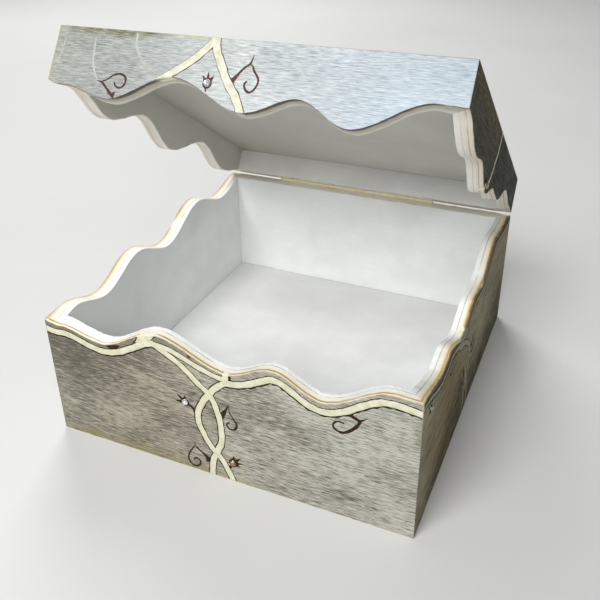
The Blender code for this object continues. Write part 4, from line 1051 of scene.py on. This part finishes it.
panel("lid_top", "lid", level(H), W, 0.0,
      lambda s, d: D - np.full(np.shape(s), max(float(arc(0.4, d)), d) + 0.03),
      (STAIN_TOP, WHITE_LID_TOP_SHADED, RAW, RAW), g, mitred_straight=True, round_rim=None, rim_step=3.0)

# ================================================================ hinge
# partly painted highlight: pale brass made paler still and only a quarter metallic, so the shaded hinge reads as bright
# as a reflection on its knuckles
BRASS = brass("hinge_brass", (1.0, 0.95, 0.77), (0.94, 0.85, 0.60), rough=0.44, metal=0.25)
LAPPED_BRASS = brass("hinge_brass_lapped", (1.0, 0.95, 0.77), (0.94, 0.85, 0.60), rough=0.44, metal=0.25, lapped=0.33)
PIN_BRASS = brass("pin_brass", (0.84, 0.70, 0.40), (0.56, 0.42, 0.20), rough=0.32)
SCREW_BRASS = brass("screw_brass", (0.86, 0.70, 0.38), (0.60, 0.44, 0.20), (300, 300, 300))
LAPPED_SCREW = brass("screw_brass_lapped", (0.86, 0.70, 0.38), (0.60, 0.44, 0.20), (300, 300, 300), lapped=0.62)

for node in ("hinge_leaf_base", "hinge_leaf_lid"):
    leaf_obj = bpy.data.objects[node]
    for slot in leaf_obj.material_slots:
        slot.material = LAPPED_BRASS if node.endswith("base") else BRASS
    bevel = leaf_obj.modifiers.new("eased edges", "BEVEL")
    bevel.width = 0.00010
    bevel.segments = 2
    bevel.limit_method = "ANGLE"
    bevel.angle_limit = math.radians(50)
    weighted = leaf_obj.modifiers.new("flat faces stay flat", "WEIGHTED_NORMAL")
    weighted.keep_sharp = True


def lathe(profile, sides):
    """Vertices and faces of a solid turned about Z from (radius, height), which starts and ends on the axis."""
    verts = [(0.0, 0.0, profile[0][1])]
    for r, h in profile[1:-1]:
        verts += [(r * math.cos(2 * math.pi * k / sides), r * math.sin(2 * math.pi * k / sides), h) for k in range(sides)]
    verts.append((0.0, 0.0, profile[-1][1]))
    rows, last = len(profile) - 2, len(verts) - 1
    faces = [[0, 1 + k, 1 + (k + 1) % sides] for k in range(sides)]
    for row in range(rows - 1):
        a, b = 1 + row * sides, 1 + (row + 1) * sides
        faces += [[a + k, b + k, b + (k + 1) % sides, a + (k + 1) % sides] for k in range(sides)]
    a = 1 + (rows - 1) * sides
    faces += [[last, a + (k + 1) % sides, a + k] for k in range(sides)]
    return np.array(verts, float), faces


# the pin, its ends peened to shallow domes
half_pin, r_pin = 55.4, 0.75
dome = [(0, half_pin), (0.28, half_pin - 0.02), (0.52, half_pin - 0.09), (0.68, half_pin - 0.20), (r_pin, half_pin - 0.36)]
v, f = lathe(dome + [(r, -h) for r, h in dome[::-1]], 24)
v = np.stack([v[:, 2] - 6.0, HINGE_Y + v[:, 0], HINGE_Z + v[:, 1]], 1)
piece("hinge_pin", v, f, [0] * len(f), [PIN_BRASS], "base")

# countersunk screws with cross recesses
THREAD = [(0.0, 0.0), (1.44, 0.0), (1.56, -0.04), (1.6, -0.12), (0.92, -0.66), (0.9, -1.5)]
for k in range(7):
    THREAD += [(0.9, -1.7 - k * 0.85), (0.64, -2.0 - k * 0.85), (0.64, -2.3 - k * 0.85)]
THREAD += [(0.6, -7.7), (0.3, -8.5), (0.0, -9.0)]
v, f = lathe(THREAD, 24)
mesh = bpy.data.meshes.new("screw_blank")
mesh.from_pydata([tuple(p) for p in v], [], f)
blank = bpy.data.objects.new("screw_blank", mesh)
bpy.context.scene.collection.objects.link(blank)
cutters = []
for turned_by in (0, 90):
    bm = bmesh.new()
    bmesh.ops.create_cube(bm, size=1.0)
    for vert in bm.verts:
        top = vert.co.z > 0
        vert.co = Vector((math.copysign(0.86 if top else 0.50, vert.co.x), math.copysign(0.17 if top else 0.12, vert.co.y), 0.2 if top else -0.42))
    bmesh.ops.rotate(bm, verts=bm.verts, cent=(0, 0, 0), matrix=Matrix.Rotation(math.radians(turned_by), 3, "Z"))
    bmesh.ops.recalc_face_normals(bm, faces=bm.faces)
    cut_mesh = bpy.data.meshes.new(f"recess_{turned_by}")
    bm.to_mesh(cut_mesh)
    bm.free()
    cutter = bpy.data.objects.new(f"recess_{turned_by}", cut_mesh)
    bpy.context.scene.collection.objects.link(cutter)
    mod = blank.modifiers.new(f"recess_{turned_by}", "BOOLEAN")
    mod.operation, mod.solver, mod.object = "DIFFERENCE", "EXACT", cutter
    cutters.append(cutter)
bpy.context.view_layer.update()
done = blank.evaluated_get(bpy.context.evaluated_depsgraph_get()).to_mesh()
SCREW_V = np.array([tuple(p.co) for p in done.vertices], float)
SCREW_F = [list(p.vertices) for p in done.polygons]
blank.evaluated_get(bpy.context.evaluated_depsgraph_get()).to_mesh_clear()
for old in [blank] + cutters:
    old_mesh = old.data
    bpy.data.objects.remove(old, do_unlink=True)
    bpy.data.meshes.remove(old_mesh)

for group, sign in (("base", 1), ("lid", -1)):
    for k, (x, turn) in enumerate(zip((-51.0, -21.0, 9.0, 39.0), (12, 57, 31, 74))):
        a = math.radians(turn + (20 if sign < 0 else 0))
        c, s_ = math.cos(a), math.sin(a)
        v = np.stack([SCREW_V[:, 0] * c - SCREW_V[:, 1] * s_, SCREW_V[:, 0] * s_ + SCREW_V[:, 1] * c, SCREW_V[:, 2]], 1)
        if sign < 0:
            v = v * (1, -1, -1)
        v = v + (x, 99.5, HINGE_Z - 0.20 * sign)
        if group == "lid":
            v = opened(v)
        piece(f"hinge_screw_{group}_{k + 1}", v, SCREW_F, [0] * len(SCREW_F), [LAPPED_SCREW if group == "base" else SCREW_BRASS], group)

# ================================================================ glass stones
CLEAR_GLASS = glass("clear_glass", (0.93, 0.95, 0.97), (0.80, 0.84, 0.88), 0.75)
AMBER_GLASS = glass("amber_glass", (0.56, 0.40, 0.17), (0.30, 0.20, 0.07), 0.7)
# painted shade: a darker copy of the clear glass and silver foil, for the stone on the base's shaded right board
SHADED_CLEAR_GLASS = glass("clear_glass_painted_shade", (0.66, 0.70, 0.62), (0.42, 0.46, 0.38), 0.75)
SHADED_SILVER_FOIL = foil("silver_foil_painted_shade", (0.30, 0.31, 0.27))
SILVER_FOIL, GOLD_FOIL = foil("silver_foil", (0.86, 0.87, 0.88)), foil("gold_foil", (0.44, 0.35, 0.18))


def stone(node, spot, side, r, height, glass_mat, foil_mat, body):
    """A flat-backed brilliant on a foil cup: table, eight kites, split girdle facets."""
    points = []
    for count, ring_r, h, shift in ((16, r * 0.96, 0.30, 0), (16, r, 0.40, 0), (16, r, 0.50, 0), (8, r * 0.82, 0.3 + (height - 0.2) * 0.72, 0.5), (8, r * 0.55, 0.3 + height, 0)):
        points += [(ring_r * math.cos(2 * math.pi * (k + shift) / count), ring_r * math.sin(2 * math.pi * (k + shift) / count), h) for k in range(count)]
    bm = bmesh.new()
    for p in points:
        bm.verts.new(p)
    bmesh.ops.convex_hull(bm, input=bm.verts)
    bmesh.ops.dissolve_limit(bm, angle_limit=math.radians(1), verts=bm.verts, edges=bm.edges)
    bm.verts.index_update()
    v = [tuple(p.co) for p in bm.verts]
    f = [[q.index for q in face.verts] for face in bm.faces]
    bm.free()
    ids = [0] * len(f)
    cup_v, cup_f = lathe([(0, 0.27), (r * 0.92, 0.27), (r + 0.02, 0.36), (r + 0.07, 0.30), (r + 0.12, 0.05), (r + 0.10, -0.28), (0, -0.30)], 32)
    f += [[k + len(v) for k in face] for face in cup_f]
    ids += [1] * len(cup_f)
    v = np.concatenate([np.array(v), cup_v])
    place_ = upright(side)
    # h stands out of the face, so the depth is its opposite
    v = place_(spot[0] + v[:, 0], spot[1] + v[:, 1], -v[:, 2])
    if body == "lid":
        v = opened(v)
    piece(node, v, f, ids, [glass_mat, foil_mat], body, smooth_angle=5)


stone("stone_base_front_clear", (81.5, 42.7), "front", 1.7, 1.1, CLEAR_GLASS, SILVER_FOIL, "base")
stone("stone_base_front_amber", (106.3, 12.0), "front", 1.7, 1.1, AMBER_GLASS, GOLD_FOIL, "base")
stone("stone_base_right_clear", (13.1, 66.9), "right", 1.3, 0.9, SHADED_CLEAR_GLASS, SHADED_SILVER_FOIL, "base")
stone("stone_lid_front_clear", (85.6, 78.6), "front", 1.7, 1.1, CLEAR_GLASS, SILVER_FOIL, "lid")
stone("stone_lid_right_amber", (77.0, 66.6), "right", 1.7, 1.1, AMBER_GLASS, GOLD_FOIL, "lid")

bpy.context.view_layer.update()

# ---------------------------------------------------------------- camera, floor and light
pitch, yaw, roll = math.radians(27.829), math.radians(24.225), math.radians(-0.921)
look = Vector((-math.sin(yaw) * math.cos(pitch), math.cos(yaw) * math.cos(pitch), -math.sin(pitch)))
across = Vector((math.cos(yaw), math.sin(yaw), 0))
above = across.cross(look)
right2, up2 = math.cos(roll) * across + math.sin(roll) * above, -math.sin(roll) * across + math.cos(roll) * above
cam_data = bpy.data.cameras.new("camera")
cam_data.sensor_width = 36.0
cam_data.lens = 44.948
cam_data.shift_x, cam_data.shift_y = 0.00456, -0.0766
cam_data.clip_start, cam_data.clip_end = 0.01, 50.0
cam = bpy.data.objects.new("camera", cam_data)
bpy.context.scene.collection.objects.link(cam)
turned = Matrix((right2, up2, -look)).transposed().to_4x4()
cam.matrix_world = Matrix.Translation((0.153109, -0.346864, 0.278735)) @ turned
bpy.context.scene.camera = cam

floor_mesh = bpy.data.meshes.new("floor")
floor_mesh.from_pydata([(-9, -9, 0), (9, -9, 0), (9, 9, 0), (-9, 9, 0)], [], [(0, 1, 2, 3)])
floor = bpy.data.objects.new("floor", floor_mesh)
bpy.context.scene.collection.objects.link(floor)
fm = Mat("studio_floor")
cloudy_floor = fm.noise(fm.mapped(fm.object_coords(), (2.2, 2.2, 2.2)), 4, 0.55)
fm.set(Base_Color=fm.ramp(cloudy_floor, [(0.3, (0.575, 0.575, 0.567)), (0.7, (0.625, 0.625, 0.613))]), Roughness=0.75)
floor_mesh.materials.append(fm.mat)

world = bpy.data.worlds.new("studio")
bpy.context.scene.world = world
world.use_nodes = True
world.node_tree.nodes["Background"].inputs[0].default_value = (0.93, 0.96, 1.0, 1)
world.node_tree.nodes["Background"].inputs[1].default_value = 0.06


def area_light(name, spot, aim, size, watts, colour):
    data = bpy.data.lights.new(name, "AREA")
    data.shape = "RECTANGLE"
    data.size, data.size_y = size
    data.energy = watts
    data.color = colour
    obj = bpy.data.objects.new(name, data)
    bpy.context.scene.collection.objects.link(obj)
    obj.location = spot
    obj.rotation_mode = "QUATERNION"
    obj.rotation_quaternion = (Vector(aim) - Vector(spot)).to_track_quat("-Z", "Y")
    return obj


area_light("key", (-0.18, -1.28, 1.32), (0, 0, 0.08), (1.0, 1.0), 37.0, (1.0, 1.0, 1.0))
area_light("fill", (0.75, -1.2, 0.95), (0, 0, 0.08), (1.0, 1.0), 6.0, (1.0, 0.99, 0.97))
area_light("rear", (-0.9, 1.25, 1.25), (0, 0, 0.08), (1.0, 1.0), 26.0, (1.0, 1.0, 1.0))
bpy.context.scene.view_settings.view_transform = "Standard"
